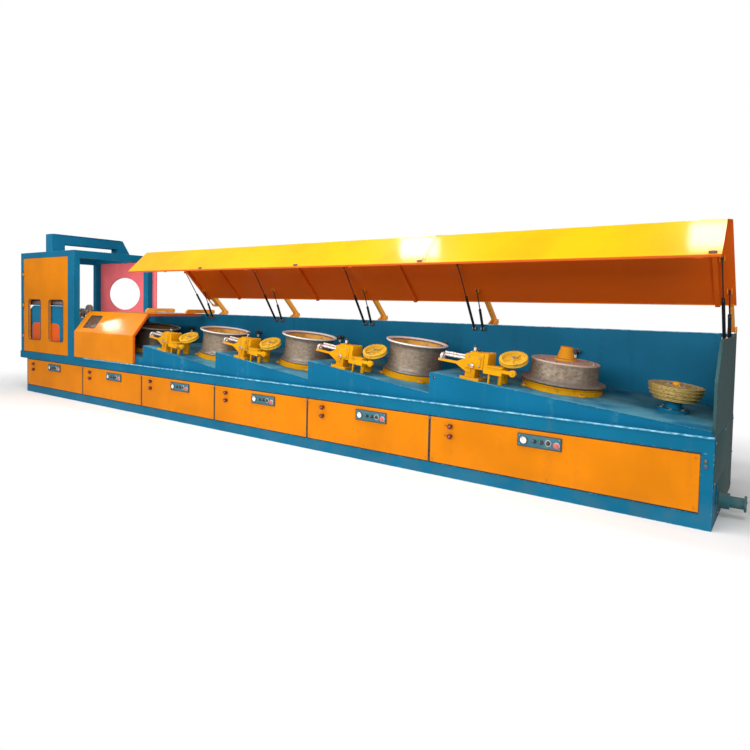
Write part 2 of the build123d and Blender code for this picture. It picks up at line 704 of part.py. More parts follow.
HOOD_WINDOW_FROM_LEFT = 170
HOOD_WINDOW_WIDTH = 300
HOOD_WINDOW_HEIGHT = 210
HOOD_WINDOW_LAP = 15
HOOD_PANE = 3
chamfer_tilt = atan2(WALL_TOP - HOOD_FRONT_TOP, HOOD_CHAMFER)
window_plane = Plane(
    origin=(closed_left + HOOD_WINDOW_FROM_LEFT + HOOD_WINDOW_WIDTH / 2,
            FRONT + HOOD_CHAMFER / 2, (HOOD_FRONT_TOP + WALL_TOP) / 2),
    x_dir=(1, 0, 0),
    z_dir=(0, -sin(chamfer_tilt), cos(chamfer_tilt)),
)


def hood_shell(left, right, ribs, angle, windows=()):
    """Folded sheet from left to right with ribs inside it and windows cut out, turned up by angle."""
    with BuildPart() as shell:
        with BuildSketch(cross_section(left)):
            with BuildLine():
                Polyline(*[swung(y, z, angle) for y, z in hood_points])
                offset(amount=HOOD_SHEET, side=Side.RIGHT)
            make_face()
        extrude(amount=right - left)
        for rib in ribs:
            with BuildSketch(cross_section(rib)):
                with BuildLine():
                    Polyline(*[swung(y, z, angle) for y, z in hood_points[1:5]])
                    offset(amount=HOOD_RIB, side=Side.RIGHT)
                make_face()
            extrude(amount=HOOD_RIB_WIDTH)
        for window in windows:
            with BuildSketch(window):
                RectangleRounded(HOOD_WINDOW_WIDTH, HOOD_WINDOW_HEIGHT, 12)
            extrude(amount=2 * HOOD_SHEET, both=True, mode=Mode.SUBTRACT)
    return shell


# The long hood stands open, the short one is shut and has a viewing window in its chamfer
open_hood = hood_shell(open_left, open_right, open_ribs, HOOD_OPEN)
open_hood.part.label = "open_hood"
export_step(open_hood.part, "parts/open_hood.step")

closed_hood = hood_shell(closed_left, closed_right, closed_ribs, 0, [window_plane])
closed_hood.part.label = "closed_hood"
export_step(closed_hood.part, "parts/closed_hood.step")

with BuildPart() as hood_window:
    with BuildSketch(window_plane.offset(-HOOD_SHEET)):
        Rectangle(HOOD_WINDOW_WIDTH + 2 * HOOD_WINDOW_LAP, HOOD_WINDOW_HEIGHT + 2 * HOOD_WINDOW_LAP)
    extrude(amount=-HOOD_PANE)
hood_window.part.label = "hood_window"
export_step(hood_window.part, "parts/hood_window.step")


def hinge_arms(places, angle):
    """Square tubes on feet, from the hood's top back to a bored boss round the pivot."""
    low = PIVOT_Z - ARM_DEEP / 2
    high = PIVOT_Z + ARM_DEEP / 2
    front = HOOD_REAR - ARM_FOOT
    foot_back = HOOD_REAR - 8
    foot_outline = [(front, WALL_TOP), (foot_back, WALL_TOP), (foot_back, low + 4), (front, low + 4)]
    bar_outline = [(front, low), (PIVOT_Y, low), (PIVOT_Y, high), (front + 40, high), (front, low + 18)]
    with BuildPart() as arms:
        for x in places:
            with BuildSketch(cross_section(x - ARM_WIDTH / 2)):
                with BuildLine():
                    Polyline(*[swung(y, z, angle) for y, z in foot_outline], close=True)
                make_face()
                with BuildLine():
                    Polyline(*[swung(y, z, angle) for y, z in bar_outline], close=True)
                make_face()
                with Locations((PIVOT_Y, PIVOT_Z)):
                    Circle(ARM_DEEP / 2)
                    Circle(PIN_RADIUS + PIN_FIT, mode=Mode.SUBTRACT)
            extrude(amount=ARM_WIDTH)
    return arms


open_arms = hinge_arms(hood_arm_places, HOOD_OPEN)
open_arms.part.label = "open_hood_arms"
export_step(open_arms.part, "parts/open_hood_arms.step")

closed_arms = hinge_arms(closed_arm_places, 0)
closed_arms.part.label = "closed_hood_arms"
export_step(closed_arms.part, "parts/closed_hood_arms.step")

# Hinge brackets: a pair of cheeks behind the wall at each arm, joined by the hinge pin
cheek_start = ARM_WIDTH / 2 + ARM_SIDE_GAP
with BuildPart() as hinge_brackets:
    for x in hood_arm_places + closed_arm_places:
        for side in (-1, 1):
            with BuildSketch(cross_section(x + side * (cheek_start + ARM_CHEEK / 2) - ARM_CHEEK / 2)):
                with BuildLine():
                    Polyline(
                        (BACK, WALL_TOP - 130),
                        (BACK, WALL_TOP - 10),
                        (PIVOT_Y - 20, PIVOT_Z + 22),
                        (PIVOT_Y + 20, PIVOT_Z + 22),
                        (PIVOT_Y + 28, PIVOT_Z - 16),
                        close=True,
                    )
                make_face()
            extrude(amount=ARM_CHEEK)
        with BuildSketch(cross_section(x - cheek_start - ARM_CHEEK)):
            with Locations((PIVOT_Y, PIVOT_Z)):
                Circle(PIN_RADIUS)
        extrude(amount=2 * (cheek_start + ARM_CHEEK))
hinge_brackets.part.label = "hinge_brackets"
export_step(hinge_brackets.part, "parts/hinge_brackets.step")

# Gas struts: foot pivots on the wall, head points under the hood's top sheet
foot_y = WALL_FACE - STRUT_FOOT_IN
foot_z = WALL_TOP - STRUT_FOOT_DOWN
head_z = WALL_TOP - STRUT_HEAD_DOWN
short_places = [x - shift for x, shift in zip(hood_arm_places, SHORT_SHIFTS)]
long_places = [x - shift for x, shift in zip(hood_arm_places, LONG_SHIFTS)]


def strut_length(reach, angle):
    """Distance from foot to head with the hood at an angle."""
    y, z = swung(HOOD_REAR - reach, head_z, angle)
    return hypot(y - foot_y, z - foot_z)


def strut_plane(x, reach, along):
    """Plane square to an open strut at a distance from its foot."""
    y, z = swung(HOOD_REAR - reach, head_z, HOOD_OPEN)
    return Plane(origin=(x, foot_y, foot_z), x_dir=(1, 0, 0), z_dir=(0, y - foot_y, z - foot_z)).offset(along)


def strut_cylinders(places, reach, spare):
    """Cylinders with a bored eye at the foot and an open bore for the rod."""
    length = strut_length(reach, 0) - spare
    neck = STRUT_EYE + 6
    with BuildPart() as cylinders:
        for x in places:
            with BuildSketch(cross_section(x - STRUT_EYE_WIDTH / 2)):
                with Locations((foot_y, foot_z)):
                    Circle(STRUT_EYE)
            extrude(amount=STRUT_EYE_WIDTH)
            with BuildSketch(strut_plane(x, reach, STRUT_PIN + 2)):
                Circle(STRUT_ROD)
            extrude(amount=neck - STRUT_PIN - 2)
            with BuildSketch(strut_plane(x, reach, neck)):
                Circle(STRUT_RADIUS)
            extrude(amount=length - neck)
            with BuildSketch(strut_plane(x, reach, neck + 6)):
                Circle(STRUT_BORE)
            extrude(amount=length - neck - 6, mode=Mode.SUBTRACT)
            with BuildSketch(cross_section(x - STRUT_EYE_WIDTH)):
                with Locations((foot_y, foot_z)):
                    Circle(STRUT_PIN + PIN_FIT)
            extrude(amount=2 * STRUT_EYE_WIDTH, mode=Mode.SUBTRACT)
    return cylinders


def strut_rods(places, reach, spare):
    """Rods that slide in the cylinders, with an eye at the head."""
    start = strut_length(reach, 0) - spare - STRUT_ENGAGED
    with BuildPart() as rods:
        for x in places:
            with BuildSketch(strut_plane(x, reach, start)):
                Circle(STRUT_ROD)
            extrude(amount=strut_length(reach, HOOD_OPEN) - start)
            with BuildSketch(cross_section(x - STRUT_EYE_WIDTH / 2)):
                with Locations(swung(HOOD_REAR - reach, head_z, HOOD_OPEN)):
                    Circle(STRUT_EYE)
            extrude(amount=STRUT_EYE_WIDTH)
    return rods


strut_sets = (("short", short_places, SHORT_REACH, SHORT_SPARE), ("long", long_places, LONG_REACH, LONG_SPARE))
for name, places, reach, spare in strut_sets:
    cylinders = strut_cylinders(places, reach, spare)
    cylinders.part.label = f"{name}_strut_cylinders"
    export_step(cylinders.part, f"parts/{name}_strut_cylinders.step")
    rods = strut_rods(places, reach, spare)
    rods.part.label = f"{name}_strut_rods"
    export_step(rods.part, f"parts/{name}_strut_rods.step")

# Strut brackets on the wall: two cheeks and a pin at each strut's foot
bracket_start = STRUT_EYE_WIDTH / 2 + STRUT_CHEEK_GAP
with BuildPart() as strut_brackets:
    for x in short_places + long_places:
        for side in (-1, 1):
            with BuildSketch(cross_section(x + side * (bracket_start + STRUT_CHEEK / 2) - STRUT_CHEEK / 2)):
                with BuildLine():
                    Polyline((WALL_FACE, foot_z - 34), (WALL_FACE, foot_z + 26), (foot_y - 12, foot_z + 12),
                             (foot_y - 12, foot_z - 12), close=True)
                make_face()
            extrude(amount=STRUT_CHEEK)
        with BuildSketch(cross_section(x - bracket_start - STRUT_CHEEK)):
            with Locations((foot_y, foot_z)):
                Circle(STRUT_PIN)
        extrude(amount=2 * (bracket_start + STRUT_CHEEK))
strut_brackets.part.label = "strut_brackets"
export_step(strut_brackets.part, "parts/strut_brackets.step")

# Head brackets under the open hood: two cheeks at each strut's head
sheet_z = WALL_TOP - HOOD_SHEET
with BuildPart() as head_brackets:
    for places, reach in ((short_places, SHORT_REACH), (long_places, LONG_REACH)):
        mid_y = HOOD_REAR - reach
        cheek = [(mid_y - 26, sheet_z), (mid_y + 26, sheet_z), (mid_y + 12, head_z - 14), (mid_y - 12, head_z - 14)]
        for x in places:
            for side in (-1, 1):
                with BuildSketch(cross_section(x + side * (bracket_start + STRUT_CHEEK / 2) - STRUT_CHEEK / 2)):
                    with BuildLine():
                        Polyline(*[swung(y, z, HOOD_OPEN) for y, z in cheek], close=True)
                    make_face()
                extrude(amount=STRUT_CHEEK)
head_brackets.part.label = "head_brackets"
export_step(head_brackets.part, "parts/head_brackets.step")

# Take-up cabinet: a welded frame of posts and beams with a roof sheet and a wire rail behind the windows
WIRE_RAIL_IN = 70
WIRE_RAIL_Z = 1460
WIRE_RAIL_HEIGHT = 60
WIRE_RAIL_THICK = 22
cabinet_mid = (CABINET_LEFT + CABINET_RIGHT) / 2
with BuildPart() as cabinet_frame:
    with BuildSketch(Plane.XY.offset(RAIL_TOP)):
        with Locations((CABINET_LEFT + CABINET_POST / 2, FRONT + CABINET_POST / 2)):
            Rectangle(CABINET_POST, CABINET_POST)
        with Locations((CABINET_RIGHT - CABINET_WIDE_POST / 2, FRONT + CABINET_POST / 2)):
            Rectangle(CABINET_WIDE_POST, CABINET_POST)
        with Locations((CABINET_LEFT + CABINET_POST / 2, BACK - CABINET_POST / 2)):
            Rectangle(CABINET_POST, CABINET_POST)
        with Locations((CABINET_RIGHT - CABINET_REAR_POST / 2, BACK - CABINET_POST / 2)):
            Rectangle(CABINET_REAR_POST, CABINET_POST)
    extrude(amount=CABINET_TOP - RAIL_TOP)
    for y in (FRONT, BACK - CABINET_POST):
        with BuildSketch(front_face(y)):
            with Locations((cabinet_mid, CABINET_TOP - CABINET_BEAM / 2)):
                Rectangle(CABINET_WIDTH, CABINET_BEAM)
        extrude(amount=-CABINET_POST)
    for x in (CABINET_LEFT, CABINET_RIGHT - CABINET_POST):
        with BuildSketch(cross_section(x)):
            with Locations((0, CABINET_TOP - CABINET_SIDE_BEAM / 2)):
                Rectangle(DEPTH, CABINET_SIDE_BEAM)
        extrude(amount=CABINET_POST)
    with BuildSketch(Plane.XY.offset(CABINET_TOP - CABINET_ROOF)):
        with Locations((cabinet_mid, 0)):
            Rectangle(CABINET_WIDTH, DEPTH)
    extrude(amount=CABINET_ROOF)
    with BuildSketch(front_face(FRONT + WIRE_RAIL_IN)):
        with Locations((cabinet_mid, WIRE_RAIL_Z)):
            Rectangle(CABINET_WIDTH - CABINET_POST, WIRE_RAIL_HEIGHT)
    extrude(amount=-WIRE_RAIL_THICK)
cabinet_frame.part.label = "cabinet_frame"
export_step(cabinet_frame.part, "parts/cabinet_frame.step")

# Cabinet door with two rounded windows, hung on three hinges at its left edge
DOOR_HINGES = 3
KNUCKLE_RADIUS = 9
KNUCKLE_LENGTH = 40
KNUCKLE_GAP = 1
HINGE_LEAF = 30
HINGE_SHEET = 4
door_left = CABINET_LEFT + CABINET_POST + DOOR_GAP
door_right = CABINET_RIGHT - CABINET_WIDE_POST - DOOR_GAP
door_bottom = RAIL_TOP + DOOR_GAP
door_top = CABINET_TOP - CABINET_BEAM - DOOR_GAP
hinge_x = door_left - DOOR_GAP / 2
hinge_y = FRONT - KNUCKLE_RADIUS
hinge_heights = [door_bottom + (door_top - door_bottom) * (n + 0.5) / DOOR_HINGES for n in range(DOOR_HINGES)]
with BuildPart() as cabinet_door:
    with BuildSketch(front_face(FRONT)):
        with Locations(((door_left + door_right) / 2, (door_bottom + door_top) / 2)):
            Rectangle(door_right - door_left, door_top - door_bottom)
        for low, high in WINDOW_EDGES:
            with Locations((CABINET_LEFT + (low + high) / 2, (WINDOW_BOTTOM + WINDOW_TOP) / 2)):
                RectangleRounded(high - low, WINDOW_TOP - WINDOW_BOTTOM, WINDOW_ROUND, mode=Mode.SUBTRACT)
    extrude(amount=-DOOR_THICK)
    for height in hinge_heights:
        with BuildSketch(Plane.XY.offset(height - KNUCKLE_LENGTH / 2)):
            with Locations((hinge_x, hinge_y)):
                Circle(KNUCKLE_RADIUS)
            with Locations((hinge_x + HINGE_LEAF / 2, FRONT - HINGE_SHEET / 2)):
                Rectangle(HINGE_LEAF, HINGE_SHEET)
        extrude(amount=KNUCKLE_LENGTH)
cabinet_door.part.label = "cabinet_door"
export_step(cabinet_door.part, "parts/cabinet_door.step")

# Fixed halves of the door's hinges: a knuckle above and below each of the door's
with BuildPart() as door_hinges:
    for height in hinge_heights:
        for side in (-1, 1):
            low = height + side * (KNUCKLE_LENGTH + KNUCKLE_GAP) - KNUCKLE_LENGTH / 2
            with BuildSketch(Plane.XY.offset(low)):
                with Locations((hinge_x, hinge_y)):
                    Circle(KNUCKLE_RADIUS)
                with Locations((hinge_x - HINGE_LEAF / 2, FRONT - HINGE_SHEET / 2)):
                    Rectangle(HINGE_LEAF, HINGE_SHEET)
            extrude(amount=KNUCKLE_LENGTH)
door_hinges.part.label = "door_hinges"
export_step(door_hinges.part, "parts/door_hinges.step")

# Take-up drive inside the cabinet: an arched gear housing and a round motor on a foot
HOUSING_IN = 267
HOUSING_WIDTH = 1060
HOUSING_HEIGHT = 560
HOUSING_SHOULDER = 340
HOUSING_Y = FRONT + 420
HOUSING_DEPTH = 520
housing_left = CABINET_LEFT + HOUSING_IN
housing_right = housing_left + HOUSING_WIDTH
shoulder_z = RAIL_TOP + HOUSING_SHOULDER
with BuildPart() as take_up_housing:
    with BuildSketch(front_face(HOUSING_Y)):
        with BuildLine():
            Polyline((housing_left, shoulder_z), (housing_left, RAIL_TOP), (housing_right, RAIL_TOP),
                     (housing_right, shoulder_z))
            ThreePointArc((housing_left, shoulder_z),
                          ((housing_left + housing_right) / 2, RAIL_TOP + HOUSING_HEIGHT),
                          (housing_right, shoulder_z))
        make_face()
    extrude(amount=-HOUSING_DEPTH)
take_up_housing.part.label = "take_up_housing"
export_step(take_up_housing.part, "parts/take_up_housing.step")

MOTOR_RADIUS = 190
MOTOR_LENGTH = 300
MOTOR_FOOT_WIDTH = 285
MOTOR_LIFT = 230
MOTOR_IN = 977
motor_x = CABINET_LEFT + MOTOR_IN
motor_z = RAIL_TOP + MOTOR_LIFT
with BuildPart() as take_up_motor:
    with BuildSketch(front_face(HOUSING_Y)):
        with Locations((motor_x, motor_z)):
            Circle(MOTOR_RADIUS)
        with Locations((motor_x, (RAIL_TOP + motor_z) / 2)):
            Rectangle(MOTOR_FOOT_WIDTH, MOTOR_LIFT)
    extrude(amount=MOTOR_LENGTH)
take_up_motor.part.label = "take_up_motor"
export_step(take_up_motor.part, "parts/take_up_motor.step")

# Roof duct: a box along the cabinet's roof, on a front and a rear foot over a slot, slanted at the rear
DUCT_FRONT_FOOT = 200
DUCT_REAR_FOOT = 220
DUCT_SLANT = 130
DUCT_REAR_GAP = 20
duct_back = BACK - DUCT_REAR_GAP
with BuildPart() as roof_duct:
    with BuildSketch(cross_section(DUCT_LEFT)):
        with BuildLine():
            Polyline(
                (FRONT, CABINET_TOP),
                (FRONT, DUCT_TOP),
                (duct_back - DUCT_SLANT, DUCT_TOP),
                (duct_back, CABINET_TOP + DUCT_SLOT / 2),
                (duct_back, CABINET_TOP),
                (duct_back - DUCT_REAR_FOOT, CABINET_TOP),
                (duct_back - DUCT_REAR_FOOT, CABINET_TOP + DUCT_SLOT),
                (FRONT + DUCT_FRONT_FOOT, CABINET_TOP + DUCT_SLOT),
                (FRONT + DUCT_FRONT_FOOT, CABINET_TOP),
                close=True,
            )
        make_face()
    extrude(amount=DUCT_WIDTH)
roof_duct.part.label = "roof_duct"
export_step(roof_duct.part, "parts/roof_duct.step")

# Rear guard: a sheet on the cabinet's rear posts with a round port
with BuildPart() as rear_guard:
    with BuildSketch(front_face(BACK)):
        with Locations(((GUARD_LEFT + GUARD_RIGHT) / 2, (GUARD_BOTTOM + GUARD_TOP) / 2)):
            Rectangle(GUARD_RIGHT - GUARD_LEFT, GUARD_TOP - GUARD_BOTTOM)
        with Locations((PORT_X, PORT_Z)):
            Ellipse(PORT_HALF_WIDTH, PORT_HALF_HEIGHT, mode=Mode.SUBTRACT)
    extrude(amount=-GUARD_THICK)
rear_guard.part.label = "rear_guard"
export_step(rear_guard.part, "parts/rear_guard.step")

# Water pipe stub at the inlet end
PIPE_Y = FRONT + 430
PIPE_Z = 120
PIPE_BOSS_RADIUS = 60
PIPE_BOSS = 70
PIPE_RADIUS = 42
PIPE_LENGTH = 110
with BuildPart() as pipe_stub:
    with BuildSketch(cross_section(RIGHT)):
        with Locations((PIPE_Y, PIPE_Z)):
            Circle(PIPE_BOSS_RADIUS)
    extrude(amount=PIPE_BOSS)
    with BuildSketch(cross_section(RIGHT + PIPE_BOSS)):
        with Locations((PIPE_Y, PIPE_Z)):
            Circle(PIPE_RADIUS)
    extrude(amount=PIPE_LENGTH)
pipe_stub.part.label = "pipe_stub"
export_step(pipe_stub.part, "parts/pipe_stub.step")
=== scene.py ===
import json
from math import atan2, cos, hypot, pi, radians, sin

import bpy
from mathutils import Matrix, Vector


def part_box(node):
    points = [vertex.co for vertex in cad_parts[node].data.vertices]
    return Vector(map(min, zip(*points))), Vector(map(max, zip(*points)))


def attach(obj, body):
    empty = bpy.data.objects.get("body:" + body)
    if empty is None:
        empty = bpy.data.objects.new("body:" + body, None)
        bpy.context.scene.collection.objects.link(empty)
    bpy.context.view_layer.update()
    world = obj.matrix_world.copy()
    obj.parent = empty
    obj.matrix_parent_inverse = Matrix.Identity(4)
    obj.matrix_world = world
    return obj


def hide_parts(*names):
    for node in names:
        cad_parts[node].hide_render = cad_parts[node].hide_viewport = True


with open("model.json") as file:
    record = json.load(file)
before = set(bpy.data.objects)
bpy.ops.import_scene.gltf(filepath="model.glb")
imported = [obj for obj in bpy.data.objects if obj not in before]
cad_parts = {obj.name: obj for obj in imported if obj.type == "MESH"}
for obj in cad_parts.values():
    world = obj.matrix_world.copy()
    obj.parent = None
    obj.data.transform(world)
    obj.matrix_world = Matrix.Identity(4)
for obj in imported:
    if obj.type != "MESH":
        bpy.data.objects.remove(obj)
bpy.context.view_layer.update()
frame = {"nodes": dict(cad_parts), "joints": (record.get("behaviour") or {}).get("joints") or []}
nodes = frame["nodes"]
joints = {joint["name"]: joint for joint in frame["joints"]}


# The studio. The camera stands at eye height off the inlet end of the machine, where the photograph
# was taken. A pale floor fades into white, two broad lamps light the tops and the front, small ones
# make the glares on the hoods, and one lights the cabinet from within.
CAMERA_PLACE = (5.469, -5.377, 1.523)
CAMERA_YAW = 0.6146
CAMERA_DROP = 0.0419
CAMERA_ROLL = 0.0215
FOCAL_PIXELS = 596.24
CENTRE_PIXEL = (379.61, 331.76)
PICTURE = 750
SENSOR = 36
SIGHT = 200
FLOOR_SIZE = 60
FLOOR_REACH = (8.5, 4.5)
FLOOR_FADE = (0.55, 1.0)
SKY_GLOW = 0.36
SKY_SEEN = 1.0
LAMPS = (
    ("roof_lamp", (0.3, -1.9, 4.6), (12.5, 0.8), 300, (0, 0, 0)),
    ("front_lamp", (3, -7.5, 3.4), (13, 2.6), 560, (1.3, 0, 0)),
    ("left_spot", (-7.7, -1.47, 4.0), (0.36, 0.36), 15, (0.17, -1.02, 0)),
    ("cabinet_lamp", (-4.1, -0.5, 1.75), (0.6, 0.5), 11, (1.57, 0, 0.15)),
    ("middle_spot", (0.72, -0.2, 5.0), (0.66, 0.3), 34, (0, 0, 0)),
    ("right_spot", (4.58, -0.22, 5.0), (0.4, 0.3), 22, (0, 0, 0)),
)


def at(x=0, y=0, z=0):
    """A shift to a place."""
    return Matrix.Translation((x, y, z))


def about(axis, angle):
    """A turn about one of the three axes."""
    return Matrix.Rotation(angle, 4, axis)


camera = bpy.data.objects.new("camera", bpy.data.cameras.new("camera"))
bpy.context.scene.collection.objects.link(camera)
turned_down = about("Z", CAMERA_YAW) @ about("X", pi / 2 - CAMERA_DROP)
camera.matrix_world = at(*CAMERA_PLACE) @ turned_down @ about("Z", CAMERA_ROLL)
camera.data.sensor_width = SENSOR
camera.data.lens = SENSOR * FOCAL_PIXELS / PICTURE
camera.data.shift_x = (PICTURE / 2 - CENTRE_PIXEL[0]) / PICTURE
camera.data.shift_y = (CENTRE_PIXEL[1] - PICTURE / 2) / PICTURE
camera.data.clip_end = SIGHT
bpy.context.scene.camera = camera
bpy.context.scene.view_settings.view_transform = "Standard"


class Socket:
    """A shader socket that adds, multiplies and compares as a number does."""

    def __init__(self, shader, socket):
        self.shader = shader
        self.socket = socket

    def maths(self, operation, first, second):
        return self.shader.node("ShaderNodeMath", {"operation": operation}, {0: first, 1: second})

    def __add__(self, other):
        return self.maths("ADD", self, other)

    def __sub__(self, other):
        return self.maths("SUBTRACT", self, other)

    def __rsub__(self, other):
        return self.maths("SUBTRACT", other, self)

    def __mul__(self, other):
        return self.maths("MULTIPLY", self, other)

    def __pow__(self, other):
        return self.maths("POWER", self, other)

    def __gt__(self, other):
        return self.maths("GREATER_THAN", self, other)

    def __lt__(self, other):
        return self.maths("LESS_THAN", self, other)

    def least(self, other):
        return self.maths("MINIMUM", self, other)

    def most(self, other):
        return self.maths("MAXIMUM", self, other)

    def between(self, low, high):
        """Nought below low, one above high, and a smooth climb in the middle."""
        limits = {"Value": self, "From Min": low, "From Max": high}
        return self.shader.node("ShaderNodeMapRange", {"interpolation_type": "SMOOTHSTEP"}, limits)

    __radd__ = __add__
    __rmul__ = __mul__


class Finish:
    """The nodes of one finish. What is the same all over it goes on the surface's own sockets."""

    CORNER_SAMPLES = 4

    def __init__(self, name, **fixed):
        self.material = bpy.data.materials.new(name)
        self.material.use_nodes = True
        self.tree = self.material.node_tree
        self.surface = self.tree.nodes["Principled BSDF"]
        for socket, value in fixed.items():
            self.surface.inputs[socket.replace("_", " ")].default_value = value

    def node(self, kind, settings, inputs, output=0):
        made = self.tree.nodes.new(kind)
        for key, value in settings.items():
            setattr(made, key, value)
        for key, value in inputs.items():
            self.join(value, made.inputs[key])
        return Socket(self, made.outputs[output])

    def join(self, value, socket):
        if isinstance(value, Socket):
            self.tree.links.new(value.socket, socket)
        elif socket.type == "RGBA":
            socket.default_value = (*value, 1)
        else:
            socket.default_value = value

    def place(self):
        return self.node("ShaderNodeTexCoord", {}, {}, "Object")

    def axes(self, vector=None):
        split = self.node("ShaderNodeSeparateXYZ", {}, {"Vector": vector or self.place()})
        outputs = split.socket.node.outputs
        return [Socket(self, outputs[n]) for n in range(3)]

    def noise(self, scale, detail=3, stretch=(1, 1, 1), rough=0.5, where=None):
        """Cloudy noise whose lumps are 1 / scale metres across, drawn out where stretch is small."""
        seat = self.node("ShaderNodeMapping", {}, {"Vector": where or self.place(), "Scale": stretch})
        cloud = {"Vector": seat, "Scale": scale, "Detail": detail, "Roughness": rough}
        return self.node("ShaderNodeTexNoise", {}, cloud)

    def normal(self):
        return self.node("ShaderNodeNewGeometry", {}, {}, "Normal")

    def softened(self, radius):
        """The surface's direction, with its corners rounded off by a radius."""
        return self.node("ShaderNodeBevel", {"samples": self.CORNER_SAMPLES}, {"Radius": radius})

    def facing(self, axis):
        """The surface's own direction along one axis, from -1 to 1."""
        return self.axes(self.normal())[axis]

    def mix(self, share, first, second):
        """The first colour, covered by the second as share goes from nought to one."""
        return self.node("ShaderNodeMix", {"data_type": "RGBA"}, {0: share, 6: first, 7: second}, 2)

    def edge(self, radius):
        """One on corners that are sharper than the radius, nought on flat faces."""
        both = {0: self.softened(radius), 1: self.normal()}
        return 1 - self.node("ShaderNodeVectorMath", {"operation": "DOT_PRODUCT"}, both, "Value")

    def bump(self, height, strength, distance=0.001, radius=None):
        inputs = {"Height": height, "Strength": strength, "Distance": distance}
        if radius:
            inputs["Normal"] = self.softened(radius)
        self.join(self.node("ShaderNodeBump", {}, inputs), self.surface.inputs["Normal"])

    def done(self, colour, rough, metal=None, alpha=None):
        values = {"Base Color": colour, "Roughness": rough, "Metallic": metal, "Alpha": alpha}
        for name, value in values.items():
            if value is not None:
                self.join(value, self.surface.inputs[name])
        return self.material


bpy.ops.object.select_all(action="DESELECT")
bpy.ops.mesh.primitive_plane_add(size=FLOOR_SIZE)
floor = bpy.context.object
floor.name = "floor"
screed = Finish("floor_screed", Specular_IOR_Level=0.1)
x, y, _ = screed.axes()
far = ((x * (1 / FLOOR_REACH[0])) ** 2 + (y * (1 / FLOOR_REACH[1])) ** 2) ** 0.5
cloud = screed.noise(0.8, 5)
floor_colour = screed.mix(cloud, (0.80, 0.80, 0.79), (0.86, 0.86, 0.85))
floor.data.materials.append(screed.done(floor_colour, 0.8, alpha=1 - far.between(*FLOOR_FADE)))

sky = bpy.data.worlds.new("sky")
sky.use_nodes = True
bpy.context.scene.world = sky
sky_nodes = sky.node_tree.nodes
seen = sky_nodes.new("ShaderNodeLightPath")
sky_blend = sky_nodes.new("ShaderNodeMix")
sky_blend.inputs[2].default_value = SKY_GLOW
sky_blend.inputs[3].default_value = SKY_SEEN
sky.node_tree.links.new(seen.outputs["Is Camera Ray"], sky_blend.inputs[0])
sky.node_tree.links.new(sky_blend.outputs[0], sky_nodes["Background"].inputs["Strength"])
sky_nodes["Background"].inputs["Color"].default_value = (1, 1, 1, 1)

for name, place, size, power, turn in LAMPS:
    lamp = bpy.data.objects.new(name, bpy.data.lights.new(name, "AREA"))
    bpy.context.scene.collection.objects.link(lamp)
    lamp.data.shape = "RECTANGLE"
    lamp.data.size, lamp.data.size_y = size
    lamp.data.energy = power
    lamp.location = place
    lamp.rotation_euler = turn
    lamp.visible_camera = False


# Bed and top rail: welded from thick plate and brushed with blue works enamel. Boots, oil and dust
# have dulled the level faces and chipped the corners, and dirt has run down the upright ones.
PAINT_SHEEN = 0.06
# The light blue of the chipped corners on the blue paints is partly worn paint and partly a painted highlight
# along the edges, which is why the blue paints take wide corners.
WORN_AND_LIT_BLUE = (0.22, 0.44, 0.56)


def enamel(name, colour, dirt, soil=0.35, chips=0.5, gloss=0.34, dust=0.5, inside=None,
           bare=(0.16, 0.13, 0.11), coat=0.0, edge=0.006):
    """Works enamel: uneven colour, runs of dirt, dust on level faces, chips on the corners, and painted shade
    on faces turned down or sideways where an inside colour is given.
    """
    shade = Finish(name, Specular_IOR_Level=PAINT_SHEEN, Coat_Weight=coat, Coat_Roughness=0.1)
    tone = shade.noise(1.7, 4)
    mottle = shade.noise(26, 5)
    faded, fresh = [c * 0.9 for c in colour], [min(1, c * 1.08) for c in colour]
    paint = shade.mix(tone.between(0.3, 0.7), faded, fresh)
    # Painted shade: faces turned down or sideways take the inside colour, standing in for shade under a hood.
    if inside:
        under = (0 - shade.facing(2)).between(0.2, 0.5).most((shade.facing(0) ** 2).between(0.5, 0.7))
        paint = shade.mix(under, paint, inside)
    runs = shade.noise(9, 5, (1, 1, 0.07)).between(0.52, 0.78) * mottle.between(0.35, 0.6)
    low = 1 - shade.axes()[2].between(0.02, 0.3)
    splashes = low * shade.noise(7, 4).between(0.35, 0.65)
    level = shade.facing(2).between(0.6, 0.95) * shade.noise(3, 6, rough=0.6).between(0.3, 0.62)
    grime = (runs * soil + splashes * (soil * 0.9) + level * dust).least(0.85)
    soiled = shade.mix(grime, paint, dirt)
    corner = shade.edge(edge).between(0.04, 0.3)
    corner_chips = corner * shade.noise(60, 4).between(0.55, 0.62) * chips
    face_chips = shade.noise(34, 8, rough=0.7).between(0.735, 0.75) * (chips * 0.8)
    chip = corner_chips.most(face_chips)
    worn = shade.mix(chip, soiled, bare)
    peel = shade.noise(420, 2) * 0.35 + mottle * 0.5
    shade.bump(peel - chip * 1.5, 0.16, 0.0012, 0.004)
    return shade.done(worn, gloss + mottle * 0.12 + grime * 0.35 + chip * 0.3)


def give(material, *names):
    """A CAD node keeps its shape and takes a finish."""
    for node in names:
        slots = nodes[node].data.materials
        slots.clear()
        slots.append(material)


blue = enamel("blue_enamel", (0.004, 0.128, 0.235), (0.06, 0.13, 0.16), chips=1.0, bare=WORN_AND_LIT_BLUE, edge=0.014)
give(blue, "bed_frame", "top_rail", "spindles", "door_hinges")
